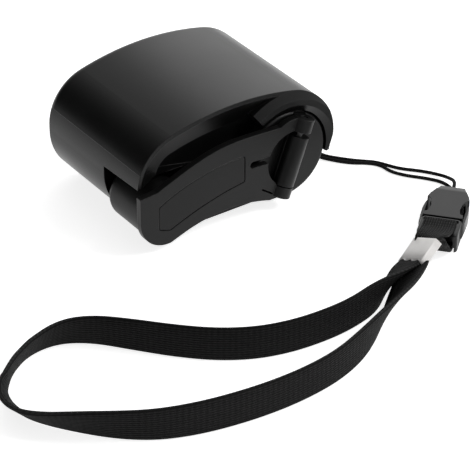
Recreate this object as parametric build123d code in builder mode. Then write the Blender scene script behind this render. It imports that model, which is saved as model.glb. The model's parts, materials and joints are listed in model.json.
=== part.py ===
from build123d import *
from math import acos, atan2, cos, degrees, hypot, pi, radians, sin, sqrt, tan
import os

os.makedirs("parts", exist_ok=True)

# ---------------------------------------------------------------- casing, mm
# The sections below are drawn from the crank axis: u to the right, v up.
casing_depth = 47.0
wall = 1.5
shell_step = 0.25  # the lower shell is set in by this much
left_centre = (-34.0, 4.2)
left_radius = 15.5
right_centre = (-1.2, 3.7)
right_radius = 16.6
dome_radius = 80.0
foot_centre = (-32.5, 2.4)
foot_radius = 17.0
sole_radius = 14.6  # lower right corner, about the crank axis
back_round = 3.0
parting_fall = 11.6  # degrees, down to the right, through the crank axis

# Front of the casing: raised ring, edge band, scoop and knob notch
ring_outer = 19.8
ring_crest = (15.6, 17.4)
ring_height = 1.1
ring_start = -13.0
ring_end = 125.0
band = 1.2
scoop_depth = 4.0
scoop_run = 7.3
recess_radius = 13.7
recess_depth = 9.0
knob_clearance = 0.6  # round the folded knob, toward the crank
notch_clearance = 0.5  # behind the folded knob
notch_lip = 5.85
notch_back_lip = 5.2

# ---------------------------------------------------------------- crank
gap = 0.3  # between pieces that move past each other
running = 0.05  # radial clearance of a shaft in its hole
drum_radius = 13.3
drum_depth = 8.6
hinge_tilt = 20.5  # degrees from upright
hinge_height = 2.2  # in front of the casing
knuckle_radius = 3.0
knuckle_low = -7.6
knuckle_high = 7.1
lower_eye = (-11.2, -8.0)
upper_eye = (8.7, 12.6)
hinge_pin_radius = 1.0
arm_front = -3.0
arm_thickness = 2.0
arm_end_centre = (-41.6, -3.6)
arm_end_radius = 8.6
arm_shoulder = (1.0, 12.75)
arm_top_edge = ((-4.2, 11.5), (-15.0, 12.1), (-24.4, 11.7), (-36.1, 8.5), (-45.0, 5.0))
arm_corner_height = 8.2  # of the square corner over the centre of the round end
arm_waist = ((-36.3, -10.6), (-21.5, -8.25), (-7.8, -10.5))
arm_slot = ((-7.5, 2.6), (-13.4, 2.9))
arm_slot_radius = 1.05
arm_slit = ((-10.3, -6.2), (-6.9, -8.6))
arm_slit_radius = 0.25
cover_top_edge = ((-44.6, 0.2), (-40.7, 2.1), (-29.3, 5.6), (-16.1, 6.9))
cover_low_edge = ((-16.1, -1.6), (-25.5, -3.2), (-34.7, -5.9), (-40.9, -8.3))
cover_corner = (-44.6, -7.0)
cover_round = 1.0
window_radius = 8.4
window_rise = 0.6
cover_depth = 0.8
knob_centre = (-41.0, -3.7)
knob_radius = 8.17
knob_start = -0.4
knob_end = 16.3
knob_round = 2.6
knob_screw_radius = 1.5
knob_screw_head = 2.9
knob_sink = 2.4
crank_shaft_radius = 2.5

# ---------------------------------------------------------------- gear train
module = 0.5
pressure = 20.0
drive_teeth = 48
first_teeth = 42
second_teeth = 36
small_teeth = 12
rotor_teeth = 10
wheel_addendum = 0.3
pinion_addendum = 0.5
dedendum = 0.65
tooth_play = 0.05
first_heading = 165.0
second_heading = 205.0
rotor_heading = 160.0
axle_radius = 1.0
plate_thickness = 1.2
drive_width = 2.5
wheel_width = 2.0
plate_clearance = 0.5  # behind the wall of the crank recess
drive_clearance = 0.6  # then the gaps between the layers, from front to back
first_clearance = 0.7
second_clearance = 1.0
rear_clearance = 1.0
pinion_overhang = 0.2
shaft_overhang = 0.4
gear_boss = 2.0
lightening_ring = 7.6
lightening_hole = 2.2
pillars = ((7.8, 12.7), (-21.0, 15.2), (-19.5, -10.8))
pillar_radius = 1.5
spigot_radius = 0.8

# ---------------------------------------------------------------- generator
can_radius = 8.5
can_wall = 0.8
can_length = 14.0
end_cap_depth = 1.6
magnet_thickness = 0.9
rotor_radius = 6.3
rotor_length = 10.0
rotor_shaft_radius = 0.75
terminal_length = 1.6
terminal_offset = 4.4

# ---------------------------------------------------------------- circuit board
board_u = (-28.5, 1.0)
board_d = (25.5, 45.2)
board_top = -5.0
board_thickness = 1.6
usb_centre = -16.0
usb_width = 13.1
usb_height = 5.7
usb_length = 13.7
usb_metal = 0.3
usb_gap = 0.2
tongue_width = 11.1
tongue_thickness = 1.84
tongue_length = 8.6
lamp_centre = (-5.4, -3.2)
lamp_radius = 1.5
capacitor_radius = 4.0
capacitor_height = 10.0
capacitor_spot = (-4.2, 36.0)
inductor_spot = (-6.0, 28.6)
chip_spot = (-14.0, 29.2)
diode_spot = (-20.4, 29.4)
usb_block = 4.5
tongue_rise = 1.1
lead_radius = 0.5
lead_setback = 1.1

# ---------------------------------------------------------------- fixings
screw_spots = ((4.5, 41.0), (4.5, 27.5), (-33.0, 43.2))
screw_radius = 1.0
screw_head = 1.9
screw_head_height = 1.3
screw_reach = 6.0
screw_seat = -8.6
boss_radius = 2.6
post_spot = (9.6, 18.5)
post_radius = 0.9
post_span = (-8.6, -3.2)
lug_height = 1.2
lanyard_hole_v = -6.2
lanyard_hole = (5.2, 3.4)
post_inset = 2.4
board_post_radius = 2.0
rib = 1.2
rib_height = 3.0
plate_foot = (-9.0, 6.0)
drum_face = 3.0
can_nose_radius = 2.5

# ---------------------------------------------------------------- lanyard
string_diameter = 1.0
strap_width = 10.0
strap_thickness = 1.2
buckle_centre = (24.5, -39.0)
buckle_heading = 40.5  # degrees, from the strap end toward the string end
buckle_thickness = 5.6
buckle_width = 12.0
buckle_neck = 6.8
socket_length = 17.0
plug_length = 8.5
prong_reach = 10.0
prong_width = 2.2
crimp_low = (3.4, -52.1, 5.0)
crimp_high = (10.2, -50.3, 9.0)
crimp_width = 10.6
crimp_thickness = 3.0
crimp_mouth = 1.6
socket_room = 9.6
socket_half = 4.9
socket_height = 3.4
eye_length = 3.0
eye_bar = 1.3
eye_end = 2.1
tab_width = 9.0
tab_tuck = 3.0
tab_height = 2.8

# Points of the string, from the post out to the buckle and back: u, y, height over the floor
string_points = (
    (8.0, 17.0, 8.4),
    (12.6, 16.9, 8.2),
    (17.2, 15.6, 4.4),
    (21.4, 12.2, 0.8),
    (25.2, 7.6, 0.6),
    (28.6, 3.8, 0.6),
    (32.2, 0.6, 0.6),
    (33.9, -3.0, 0.6),
    (35.8, -6.6, 0.6),
    (39.8, -10.8, 0.6),
    (42.8, -15.6, 0.7),
    (42.8, -20.2, 1.8),
    (40.9, -24.4, 3.6),
    (38.4, -27.2, 4.2),
    (35.1, -29.9, 4.2),
    (35.1, -29.9, 1.4),
    (38.4, -27.2, 1.3),
    (40.9, -23.4, 0.8),
    (41.0, -18.8, 0.6),
    (38.2, -14.4, 0.6),
    (34.6, -10.2, 0.6),
    (32.4, -6.0, 0.6),
    (32.4, -1.9, 0.6),
    (30.2, 1.2, 0.6),
    (26.2, 4.0, 0.6),
    (23.2, 7.6, 0.6),
    (19.6, 12.6, 0.9),
    (15.8, 17.2, 4.4),
    (12.4, 19.9, 8.0),
    (8.0, 20.2, 8.4),
)

# Points of the strap in plan: out from the crimp along the near run, and back along the far run
strap_points = (
    (2.0, -54.2),
    (-4.8, -59.2),
    (-12.6, -64.2),
    (-21.0, -69.2),
    (-30.0, -73.8),
    (-39.8, -77.2),
    (-50.2, -78.6),
    (-60.8, -78.6),
    (-71.4, -77.4),
    (-81.6, -75.2),
    (-91.0, -71.6),
    (-98.8, -66.2),
    (-105.6, -59.8),
    (-111.4, -53.4),
    (-115.0, -47.2),
    (-115.2, -40.8),
    (-111.6, -35.4),
    (-105.6, -29.6),
    (-98.2, -25.4),
    (-89.8, -24.6),
    (-82.2, -28.6),
    (-75.0, -36.6),
    (-67.6, -45.2),
    (-60.0, -52.4),
    (-51.6, -57.6),
    (-42.6, -60.4),
    (-33.4, -61.4),
    (-24.6, -61.2),
    (-16.0, -59.4),
    (-7.4, -56.6),
    (0.6, -52.2),
)

# ---------------------------------------------------------------- shared frame
# The origin is the bottom centre of the charger's own box, without its cords.
arm_reach = arm_end_radius - arm_end_centre[0]
right_reach = right_centre[0] + right_radius
hub_x = (arm_reach - right_reach) / 2
hub_z = sole_radius - shell_step
front_y = -(casing_depth - hinge_height - knuckle_radius) / 2
hinge_axis = (sin(radians(hinge_tilt)), 0, cos(radians(hinge_tilt)))
hinge_side = (cos(radians(hinge_tilt)), 0, -sin(radians(hinge_tilt)))
parting_line = (cos(radians(parting_fall)), 0, -sin(radians(parting_fall)))
parting_up = (sin(radians(parting_fall)), 0, cos(radians(parting_fall)))


def facing(depth):
    """A plane seen from the front, with its origin on the crank axis."""
    return Plane(origin=(hub_x, front_y + depth, hub_z), x_dir=(1, 0, 0), z_dir=(0, -1, 0))


def rising(height):
    """A plane seen from above, at a height over the crank axis, with depth to the back as y."""
    return Plane(origin=(hub_x, front_y, hub_z + height), x_dir=(1, 0, 0), z_dir=(0, 0, 1))


def across_hinge(travel):
    """A plane square to the folding hinge, with x to its right side and y to the back."""
    along = tuple(travel * part for part in hinge_axis)
    origin = (hub_x + along[0], front_y - hinge_height, hub_z + along[2])
    return Plane(origin=origin, x_dir=hinge_side, z_dir=hinge_axis)


def sideways(u):
    """A plane square to the width, with depth to the back as x and v as y."""
    return Plane(origin=(hub_x + u, front_y, hub_z), x_dir=(0, 1, 0), z_dir=(1, 0, 0))


def spot(point):
    """A lanyard point: u, y from the casing front, height over the floor."""
    return (hub_x + point[0], front_y + point[1], point[2])


def polar(radius, angle, centre=(0.0, 0.0)):
    """A point at an angle in degrees about a centre."""
    return (centre[0] + radius * cos(radians(angle)), centre[1] + radius * sin(radians(angle)))


def on_hinge(travel, side=0.0):
    """A front-view point from its travel along the hinge and its distance to the right of it."""
    return (
        travel * hinge_axis[0] + side * hinge_side[0],
        travel * hinge_axis[2] + side * hinge_side[2],
    )


def bend_radii(points):
    """Bend at each inner point: the largest that leaves a tenth of the shorter run straight."""
    radii = []
    for before, here, after in zip(points, points[1:], points[2:]):
        back = [a - b for a, b in zip(before, here)]
        ahead = [a - b for a, b in zip(after, here)]
        cosine = sum(a * b for a, b in zip(back, ahead)) / (hypot(*back) * hypot(*ahead))
        half_turn = (pi - acos(cosine)) / 2
        radii.append(0.45 * min(hypot(*back), hypot(*ahead)) / tan(half_turn))
    return radii


def buckle_plane(height):
    """A level plane over the floor, with x along the buckle toward its string end."""
    heading = (cos(radians(buckle_heading)), sin(radians(buckle_heading)), 0)
    return Plane(origin=spot((*buckle_centre, height)), x_dir=heading, z_dir=(0, 0, 1))


buckle_side = Plane(
    origin=spot((*buckle_centre, 0)),
    x_dir=(cos(radians(buckle_heading)), sin(radians(buckle_heading)), 0),
    z_dir=(sin(radians(buckle_heading)), -cos(radians(buckle_heading)), 0),
)
crimp_run = tuple(low - high for low, high in zip(crimp_low, crimp_high))
crimp_length = hypot(*crimp_run)
crimp_plane = Plane(
    origin=spot(tuple((low + high) / 2 for low, high in zip(crimp_low, crimp_high))),
    x_dir=crimp_run,
    z_dir=Vector(*crimp_run).cross(Vector(-0.06, -0.9, 0.43)),
)

# Depths of the gear layers, the notch and the board posts, from the sizes that set them
arm_corner = (arm_end_centre[0] - arm_end_radius, arm_end_centre[1] + arm_corner_height)
notch_depth = knob_end + notch_clearance
notch_radius = hypot(*knob_centre) - knob_radius - knob_clearance  # about the crank axis
plate_start = recess_depth + wall + plate_clearance
front_plate = (plate_start, plate_start + plate_thickness)
drive_span = (front_plate[1] + drive_clearance, front_plate[1] + drive_clearance + drive_width)
first_span = (drive_span[1] + first_clearance, drive_span[1] + first_clearance + wheel_width)
second_span = (first_span[1] + second_clearance, first_span[1] + second_clearance + wheel_width)
rear_plate = (second_span[1] + rear_clearance, second_span[1] + rear_clearance + plate_thickness)
crank_shaft_end = rear_plate[1] + shaft_overhang
board_posts = (
    (board_u[0] + post_inset, board_d[1] - post_inset),
    (board_u[1] - post_inset, board_d[1] - post_inset),
    (board_u[0] + post_inset, board_d[0] + post_inset),
)

# Arcs of the casing outline, from their tangencies
centre_span = hypot(right_centre[0] - left_centre[0], right_centre[1] - left_centre[1])
span_u = (right_centre[0] - left_centre[0]) / centre_span
span_v = (right_centre[1] - left_centre[1]) / centre_span
dome_left = dome_radius - left_radius
dome_right = dome_radius - right_radius
dome_along = (dome_left**2 - dome_right**2 + centre_span**2) / (2 * centre_span)
dome_drop = sqrt(dome_left**2 - dome_along**2)
dome_centre = (
    left_centre[0] + dome_along * span_u + dome_drop * span_v,
    left_centre[1] + dome_along * span_v - dome_drop * span_u,
)
dome_start = degrees(atan2(right_centre[1] - dome_centre[1], right_centre[0] - dome_centre[0]))
dome_stop = degrees(atan2(left_centre[1] - dome_centre[1], left_centre[0] - dome_centre[0]))
flank_turn = degrees(acos((right_radius - sole_radius) / hypot(*right_centre)))
flank_angle = degrees(atan2(-right_centre[1], -right_centre[0])) + flank_turn


with BuildSketch() as casing_section:
    with BuildLine():
        CenterArc(right_centre, right_radius, flank_angle, dome_start - flank_angle)
        CenterArc(dome_centre, dome_radius, dome_start, dome_stop - dome_start)
        CenterArc(left_centre, left_radius, dome_stop, 180 - dome_stop)
        Line(polar(left_radius, 180, left_centre), polar(foot_radius, 180, foot_centre))
        CenterArc(foot_centre, foot_radius, 180, 90)
        Line(polar(foot_radius, 270, foot_centre), (0, -sole_radius))
        CenterArc((0, 0), sole_radius, 270, 90 + flank_angle)
        Line(polar(sole_radius, flank_angle), polar(right_radius, flank_angle, right_centre))
    make_face()


def involute(angle):
    """Roll of an involute at a pressure angle in radians."""
    return tan(angle) - angle


def gear_outline(teeth, addendum, first_tooth, centre=(0.0, 0.0)):
    """The outline of a spur gear, with one tooth centred on first_tooth degrees."""
    pitch_radius = module * teeth / 2
    base_radius = pitch_radius * cos(radians(pressure))
    root_radius = pitch_radius - dedendum
    tip_radius = pitch_radius + addendum
    half_tooth = pi / (2 * teeth) - tooth_play / pitch_radius + involute(radians(pressure))
    low = max(base_radius, root_radius)
    flank = []
    for step in range(4):
        radius = low + (tip_radius - low) * step / 3
        half = half_tooth - involute(acos(min(1.0, base_radius / radius)))
        flank.append((radius, half))
    if root_radius < base_radius:
        flank.insert(0, (root_radius, flank[0][1]))
    outline = []
    for tooth in range(teeth):
        middle = radians(first_tooth) + 2 * pi * tooth / teeth
        for radius, half in flank:
            outline.append(polar(radius, degrees(middle - half), centre))
        for radius, half in reversed(flank):
            outline.append(polar(radius, degrees(middle + half), centre))
    return outline


def mesh_tooth(heading, teeth):
    """Tooth heading of a pinion whose tooth space faces back along a line of centres."""
    return heading + 180 + 180 / teeth


def centre_distance(wheel, pinion):
    """Distance between the axes of two gears in mesh."""
    return module * (wheel + pinion) / 2


first_centre = polar(centre_distance(drive_teeth, small_teeth), first_heading)
second_centre = polar(centre_distance(first_teeth, small_teeth), second_heading, first_centre)
rotor_centre = polar(centre_distance(second_teeth, rotor_teeth), rotor_heading, second_centre)
first_mesh = mesh_tooth(first_heading, small_teeth)
second_mesh = mesh_tooth(second_heading, small_teeth)
rotor_mesh = mesh_tooth(rotor_heading, rotor_teeth)
can_back = rear_plate[1] + can_length
lead_back = can_back + end_cap_depth + lead_setback
usb_middle = board_top + usb_height / 2
usb_front = casing_depth - 0.1 - usb_length

# Panel inlaid in the arm
with BuildSketch() as cover_section:
    with BuildLine():
        Spline(*cover_top_edge)
        Line(cover_top_edge[-1], cover_low_edge[0])
        Spline(*cover_low_edge)
        Line(cover_low_edge[-1], cover_corner)
        Line(cover_corner, cover_top_edge[0])
    make_face()
    fillet(vertices(), cover_round)

# ---------------------------------------------------------------- cutting shapes
# Scoop: from the edge band down to the floor behind the arm, open at the bottom
with BuildPart() as scoop:
    with BuildSketch(facing(-0.001)):
        add(casing_section.sketch)
        offset(amount=-band)
    with BuildSketch(facing(scoop_depth)):
        add(casing_section.sketch)
        offset(amount=-(band + scoop_run))
    loft()
    with BuildSketch(facing(-5)):
        Circle(ring_outer)
    extrude(amount=-20, mode=Mode.SUBTRACT)
    with BuildSketch(facing(-5)):
        with BuildLine():
            CenterArc((0, 0), ring_outer, ring_end, 360 + ring_start - ring_end)
            Polyline(polar(ring_outer, ring_start), (0, 0), polar(ring_outer, ring_end))
        make_face()
    extrude(amount=-(5 + scoop_depth))
    with BuildSketch(facing(-5)):
        with Locations((-16, -14)):
            Rectangle(33, 20)
    extrude(amount=-(5 + scoop_depth))

# Notch: room for the folded knob and for its way out through the bottom
with BuildPart() as notch:
    with BuildSketch(sideways(-20)):
        with BuildLine():
            Polyline(
                (-6, notch_lip + 0.23),
                (notch_depth, notch_back_lip),
                (notch_depth, -30),
                (-6, -30),
                close=True,
            )
        make_face()
    extrude(amount=-45)
    with BuildSketch(facing(-8)):
        Circle(notch_radius)
    extrude(amount=-40, mode=Mode.SUBTRACT)

# Cavity: everything inside the walls, round the recess and the notch
with BuildPart() as cavity:
    with BuildSketch(facing(scoop_depth + wall)):
        add(casing_section.sketch)
        offset(amount=-(wall + shell_step))
    extrude(amount=-(casing_depth - scoop_depth - 2 * wall))
    with BuildSketch(facing(0)):
        Circle(recess_radius + wall)
    extrude(amount=-(recess_depth + wall), mode=Mode.SUBTRACT)
    with BuildSketch(facing(0)):
        with Locations((-46, -10)):
            Rectangle(32, 2 * (notch_lip + wall + 10))
        Circle(notch_radius - wall, mode=Mode.SUBTRACT)
    extrude(amount=-(notch_depth + wall), mode=Mode.SUBTRACT)
    for place in screw_spots:
        with BuildSketch(rising(-20)):
            with Locations(place):
                Circle(boss_radius)
        extrude(amount=60, mode=Mode.SUBTRACT)


# Whole casing before it is parted: outside, ring, scoop, notch, recess, cavity and screw holes
with BuildPart() as casing:
    with BuildSketch(facing(-ring_height)):
        add(casing_section.sketch)
    extrude(amount=-(casing_depth + ring_height))
    back_edges = faces().sort_by(Axis.Y)[-1].edges()
    fillet(back_edges, back_round)
    with BuildSketch(Plane(origin=(hub_x, front_y, hub_z), x_dir=(1, 0, 0), z_dir=(0, 0, -1))):
        with BuildLine():
            Polyline(
                (ring_crest[1], ring_height),
                (ring_outer, 0),
                (70, 0),
                (70, 3),
                (ring_crest[1], 3),
                close=True,
            )
        make_face()
    revolve(axis=Axis((hub_x, front_y, hub_z), (0, 1, 0)), mode=Mode.SUBTRACT)
    with BuildSketch(Plane(origin=(hub_x, front_y, hub_z), x_dir=(1, 0, 0), z_dir=(0, 0, -1))):
        with BuildLine():
            Polyline(
                (0, 3),
                (ring_crest[0], 3),
                (ring_crest[0], ring_height),
                (recess_radius, 0),
                (0, 0),
                close=True,
            )
        make_face()
    revolve(axis=Axis((hub_x, front_y, hub_z), (0, 1, 0)), mode=Mode.SUBTRACT)
    add(scoop.part, mode=Mode.SUBTRACT)
    add(notch.part, mode=Mode.SUBTRACT)
    add(cavity.part, mode=Mode.SUBTRACT)
    with BuildSketch(facing(-5)):
        Circle(recess_radius)
    extrude(amount=-(5 + recess_depth), mode=Mode.SUBTRACT)
    with BuildSketch(facing(0)):
        Circle(crank_shaft_radius + wall)
    extrude(amount=-(recess_depth + 2 * wall), mode=Mode.SUBTRACT)
    for place in screw_spots:
        with BuildSketch(rising(screw_seat)):
            with Locations(place):
                Circle(screw_radius)
        parting_height = -place[0] * tan(radians(parting_fall))
        extrude(amount=parting_height + screw_reach - screw_seat, mode=Mode.SUBTRACT)


# Lugs: the two seats of the lanyard post, grown out of the right-hand wall
with BuildPart() as lugs:
    for height in (post_span[0], post_span[1] - lug_height):
        with BuildSketch(rising(height)):
            with Locations((post_spot[0] + 1.5, post_spot[1])):
                Rectangle(6, 2 * post_radius + 2.6)
            with Locations(post_spot):
                Circle(post_radius, mode=Mode.SUBTRACT)
        extrude(amount=lug_height)
    with BuildSketch(facing(0)):
        add(casing_section.sketch)
        offset(amount=-(shell_step + wall / 2))
    extrude(amount=-casing_depth, mode=Mode.INTERSECT)

# ---------------------------------------------------------------- shells
with BuildPart() as upper_shell:
    add(casing.part)
    split(bisect_by=Plane(origin=(hub_x, 0, hub_z), x_dir=parting_line, z_dir=parting_up), keep=Keep.TOP)
upper_shell.part.label = "upper_shell"
export_step(upper_shell.part, "parts/upper_shell.step")

with BuildPart() as lower_shell:
    add(casing.part)
    split(bisect_by=Plane(origin=(hub_x, 0, hub_z), x_dir=parting_line, z_dir=parting_up), keep=Keep.BOTTOM)
    with BuildSketch(facing(-5)):
        add(casing_section.sketch)
        offset(amount=-shell_step)
    extrude(amount=-(5 + casing_depth), mode=Mode.INTERSECT)
    for place in screw_spots:
        with BuildSketch(rising(-20)):
            with Locations(place):
                Circle(screw_head + 0.15)
        extrude(amount=screw_seat + 20, mode=Mode.SUBTRACT)
    with BuildSketch(facing(casing_depth + 1)):
        with Locations((usb_centre, board_top + usb_height / 2)):
            Rectangle(usb_width + 2 * usb_gap, usb_height + 2 * usb_gap)
        with Locations(lamp_centre):
            Circle(lamp_radius + running)
    extrude(amount=1 + 2 * wall, mode=Mode.SUBTRACT)
    with BuildSketch(sideways(7)):
        with Locations((post_spot[1], lanyard_hole_v)):
            RectangleRounded(lanyard_hole[0], lanyard_hole[1], 1.2)
    extrude(amount=10, mode=Mode.SUBTRACT)
    add(lugs.part)
    with BuildSketch(rising(post_span[0])):
        with Locations(post_spot):
            Circle(post_radius)
    extrude(amount=post_span[1] - post_span[0], mode=Mode.SUBTRACT)
    for place in board_posts:
        with BuildSketch(rising(-sole_radius + wall)):
            with Locations(place):
                Circle(board_post_radius)
        extrude(amount=board_top - board_thickness + sole_radius - wall)
        with BuildSketch(rising(board_top - board_thickness)):
            with Locations(place):
                Circle(screw_radius)
        extrude(amount=-4, mode=Mode.SUBTRACT)
    for depth in (rear_plate[0] - rib - running, rear_plate[1] + running):
        with BuildSketch(facing(depth)):
            with Locations((plate_foot[0], -sole_radius + wall + rib_height / 2)):
                Rectangle(plate_foot[1], rib_height)
        extrude(amount=-rib)
lower_shell.part.label = "lower_shell"
export_step(lower_shell.part, "parts/lower_shell.step")

with BuildPart() as front_bushing:
    with BuildSketch(facing(recess_depth)):
        Circle(crank_shaft_radius + wall)
        Circle(crank_shaft_radius + running, mode=Mode.SUBTRACT)
    extrude(amount=-wall)
front_bushing.part.label = "front_bushing"
export_step(front_bushing.part, "parts/front_bushing.step")

with BuildPart() as casing_screws:
    for place in screw_spots:
        reach = -place[0] * tan(radians(parting_fall)) + screw_reach
        with BuildSketch(rising(screw_seat)):
            with Locations(place):
                Circle(screw_radius)
        extrude(amount=reach - screw_seat - 0.5)
        with BuildSketch(rising(screw_seat)):
            with Locations(place):
                Circle(screw_head)
        extrude(amount=-screw_head_height)
        with BuildSketch(rising(screw_seat - screw_head_height)):
            with Locations(place):
                Rectangle(2.2, 0.5)
                Rectangle(0.5, 2.2)
        extrude(amount=0.7, mode=Mode.SUBTRACT)
casing_screws.part.label = "casing_screws"
export_step(casing_screws.part, "parts/casing_screws.step")

# ---------------------------------------------------------------- crank hub and arm
with BuildPart() as crank_hub:
    with BuildSketch(facing(0)):
        Circle(drum_radius)
    extrude(amount=-drum_depth)
    fillet(faces().sort_by(Axis.Y)[0].edges(), 1.0)
    with BuildSketch(across_hinge(-20)):
        Circle(knuckle_radius + gap)
    extrude(amount=40, mode=Mode.SUBTRACT)
    with BuildSketch(facing(drum_face)):
        Circle(drum_radius - wall)
        Circle(crank_shaft_radius + wall, mode=Mode.SUBTRACT)
    extrude(amount=-(drum_depth - drum_face), mode=Mode.SUBTRACT)
    with BuildSketch(across_hinge(knuckle_low)):
        Circle(knuckle_radius)
        with Locations((0, hinge_height + 0.6)):
            Rectangle(2 * knuckle_radius, 2 * (hinge_height + 0.6) - 2)
    extrude(amount=knuckle_high - knuckle_low)
    with BuildSketch(across_hinge(-20)):
        Circle(hinge_pin_radius + running)
    extrude(amount=40, mode=Mode.SUBTRACT)
    with BuildSketch(facing(drum_depth)):
        Circle(crank_shaft_radius)
    extrude(amount=-(crank_shaft_end - drum_depth))
    with BuildSketch(facing(crank_shaft_end)):
        Circle(screw_radius)
    extrude(amount=7, mode=Mode.SUBTRACT)
crank_hub.part.label = "crank_hub"
export_step(crank_hub.part, "parts/crank_hub.step")

with BuildPart() as crank_arm:
    with BuildSketch(facing(arm_front)):
        with BuildLine():
            Line(on_hinge(upper_eye[0] + 0.6), on_hinge(upper_eye[1]))
            ThreePointArc(on_hinge(upper_eye[1]), arm_shoulder, arm_top_edge[0])
            Spline(*arm_top_edge)
            Line(arm_top_edge[-1], arm_corner)
            Line(arm_corner, polar(arm_end_radius, 180, arm_end_centre))
            CenterArc(arm_end_centre, arm_end_radius, 180, 96)
            Line(polar(arm_end_radius, 276, arm_end_centre), arm_waist[0])
            ThreePointArc(*arm_waist)
            Line(arm_waist[-1], on_hinge(lower_eye[0]))
            Line(on_hinge(lower_eye[0]), on_hinge(upper_eye[0] + 0.6))
        make_face()
        with Locations((0, window_rise)):
            Circle(window_radius, mode=Mode.SUBTRACT)
        with BuildLine():
            Polyline(
                on_hinge(lower_eye[1] + gap, -knuckle_radius - gap),
                on_hinge(upper_eye[0] - gap, -knuckle_radius - gap),
                on_hinge(upper_eye[0] - gap, 5),
                on_hinge(lower_eye[1] + gap, 5),
                close=True,
            )
        make_face(mode=Mode.SUBTRACT)
        with BuildLine():
            Line(*arm_slot)
            offset(amount=arm_slot_radius)
        make_face(mode=Mode.SUBTRACT)
        with BuildLine():
            Line(*arm_slit)
            offset(amount=arm_slit_radius)
        make_face(mode=Mode.SUBTRACT)
    extrude(amount=-arm_thickness)
    for eye in (lower_eye, upper_eye):
        with BuildSketch(across_hinge(eye[0])):
            Circle(knuckle_radius)
        extrude(amount=eye[1] - eye[0])
    with BuildSketch(across_hinge(-20)):
        Circle(hinge_pin_radius)
    extrude(amount=40, mode=Mode.SUBTRACT)
    with BuildSketch(facing(arm_front)):
        add(cover_section.sketch)
    extrude(amount=-cover_depth, mode=Mode.SUBTRACT)
    with BuildSketch(facing(arm_front + arm_thickness)):
        with Locations(knob_centre):
            Circle(screw_radius)
    extrude(amount=arm_thickness - cover_depth, mode=Mode.SUBTRACT)
crank_arm.part.label = "crank_arm"
export_step(crank_arm.part, "parts/crank_arm.step")

with BuildPart() as arm_cover:
    with BuildSketch(facing(arm_front)):
        add(cover_section.sketch)
    extrude(amount=-cover_depth)
arm_cover.part.label = "arm_cover"
export_step(arm_cover.part, "parts/arm_cover.step")

with BuildPart() as hinge_pin:
    with BuildSketch(across_hinge(lower_eye[0] + 0.3)):
        Circle(hinge_pin_radius)
    extrude(amount=upper_eye[1] - lower_eye[0] - 0.6)
hinge_pin.part.label = "hinge_pin"
export_step(hinge_pin.part, "parts/hinge_pin.step")

with BuildPart() as crank_knob:
    with BuildSketch(facing(knob_start)):
        with Locations(knob_centre):
            Circle(knob_radius)
    extrude(amount=-(knob_end - knob_start))
    fillet(faces().sort_by(Axis.Y)[-1].edges(), knob_round)
    fillet(faces().sort_by(Axis.Y)[0].edges(), 0.5)
    with BuildSketch(facing(knob_start)):
        with Locations(knob_centre):
            Circle(knob_screw_radius + running)
    extrude(amount=-(knob_end - knob_start), mode=Mode.SUBTRACT)
    with BuildSketch(facing(knob_end - knob_sink)):
        with Locations(knob_centre):
            Circle(knob_screw_head + gap)
    extrude(amount=-knob_sink, mode=Mode.SUBTRACT)
crank_knob.part.label = "crank_knob"
export_step(crank_knob.part, "parts/crank_knob.step")

with BuildPart() as knob_screw:
    with BuildSketch(facing(arm_front + cover_depth + 0.1)):
        with Locations(knob_centre):
            Circle(screw_radius)
    extrude(amount=-(arm_thickness - cover_depth - 0.1))
    with BuildSketch(facing(arm_front + arm_thickness)):
        with Locations(knob_centre):
            Circle(knob_screw_radius)
    extrude(amount=-(knob_end - knob_sink + 0.1 - arm_front - arm_thickness))
    with BuildSketch(facing(knob_end - knob_sink + 0.1)):
        with Locations(knob_centre):
            Circle(knob_screw_head)
    extrude(amount=-screw_head_height)
    with BuildSketch(facing(knob_end - knob_sink + 0.1 + screw_head_height)):
        with Locations(knob_centre):
            Rectangle(3.2, 0.6)
            Rectangle(0.6, 3.2)
    extrude(amount=0.7, mode=Mode.SUBTRACT)
knob_screw.part.label = "knob_screw"
export_step(knob_screw.part, "parts/knob_screw.step")

# ---------------------------------------------------------------- gearbox
with BuildPart() as drive_gear:
    with BuildSketch(facing(drive_span[0])):
        with BuildLine():
            Polyline(*gear_outline(drive_teeth, wheel_addendum, first_heading), close=True)
        make_face()
        Circle(crank_shaft_radius, mode=Mode.SUBTRACT)
        with PolarLocations(lightening_ring, 6):
            Circle(lightening_hole, mode=Mode.SUBTRACT)
    extrude(amount=-(drive_span[1] - drive_span[0]))
drive_gear.part.label = "drive_gear"
export_step(drive_gear.part, "parts/drive_gear.step")

with BuildPart() as rear_washer:
    with BuildSketch(facing(crank_shaft_end)):
        Circle(crank_shaft_radius + wall)
        Circle(screw_radius + running, mode=Mode.SUBTRACT)
    extrude(amount=-0.8)
rear_washer.part.label = "rear_washer"
export_step(rear_washer.part, "parts/rear_washer.step")

with BuildPart() as hub_screw:
    with BuildSketch(facing(crank_shaft_end + 0.8)):
        Circle(screw_radius)
    extrude(amount=6.5)
    with BuildSketch(facing(crank_shaft_end + 0.8)):
        Circle(screw_head)
    extrude(amount=-screw_head_height)
    with BuildSketch(facing(crank_shaft_end + 0.8 + screw_head_height)):
        Rectangle(2.2, 0.5)
        Rectangle(0.5, 2.2)
    extrude(amount=0.7, mode=Mode.SUBTRACT)
hub_screw.part.label = "hub_screw"
export_step(hub_screw.part, "parts/hub_screw.step")

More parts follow.
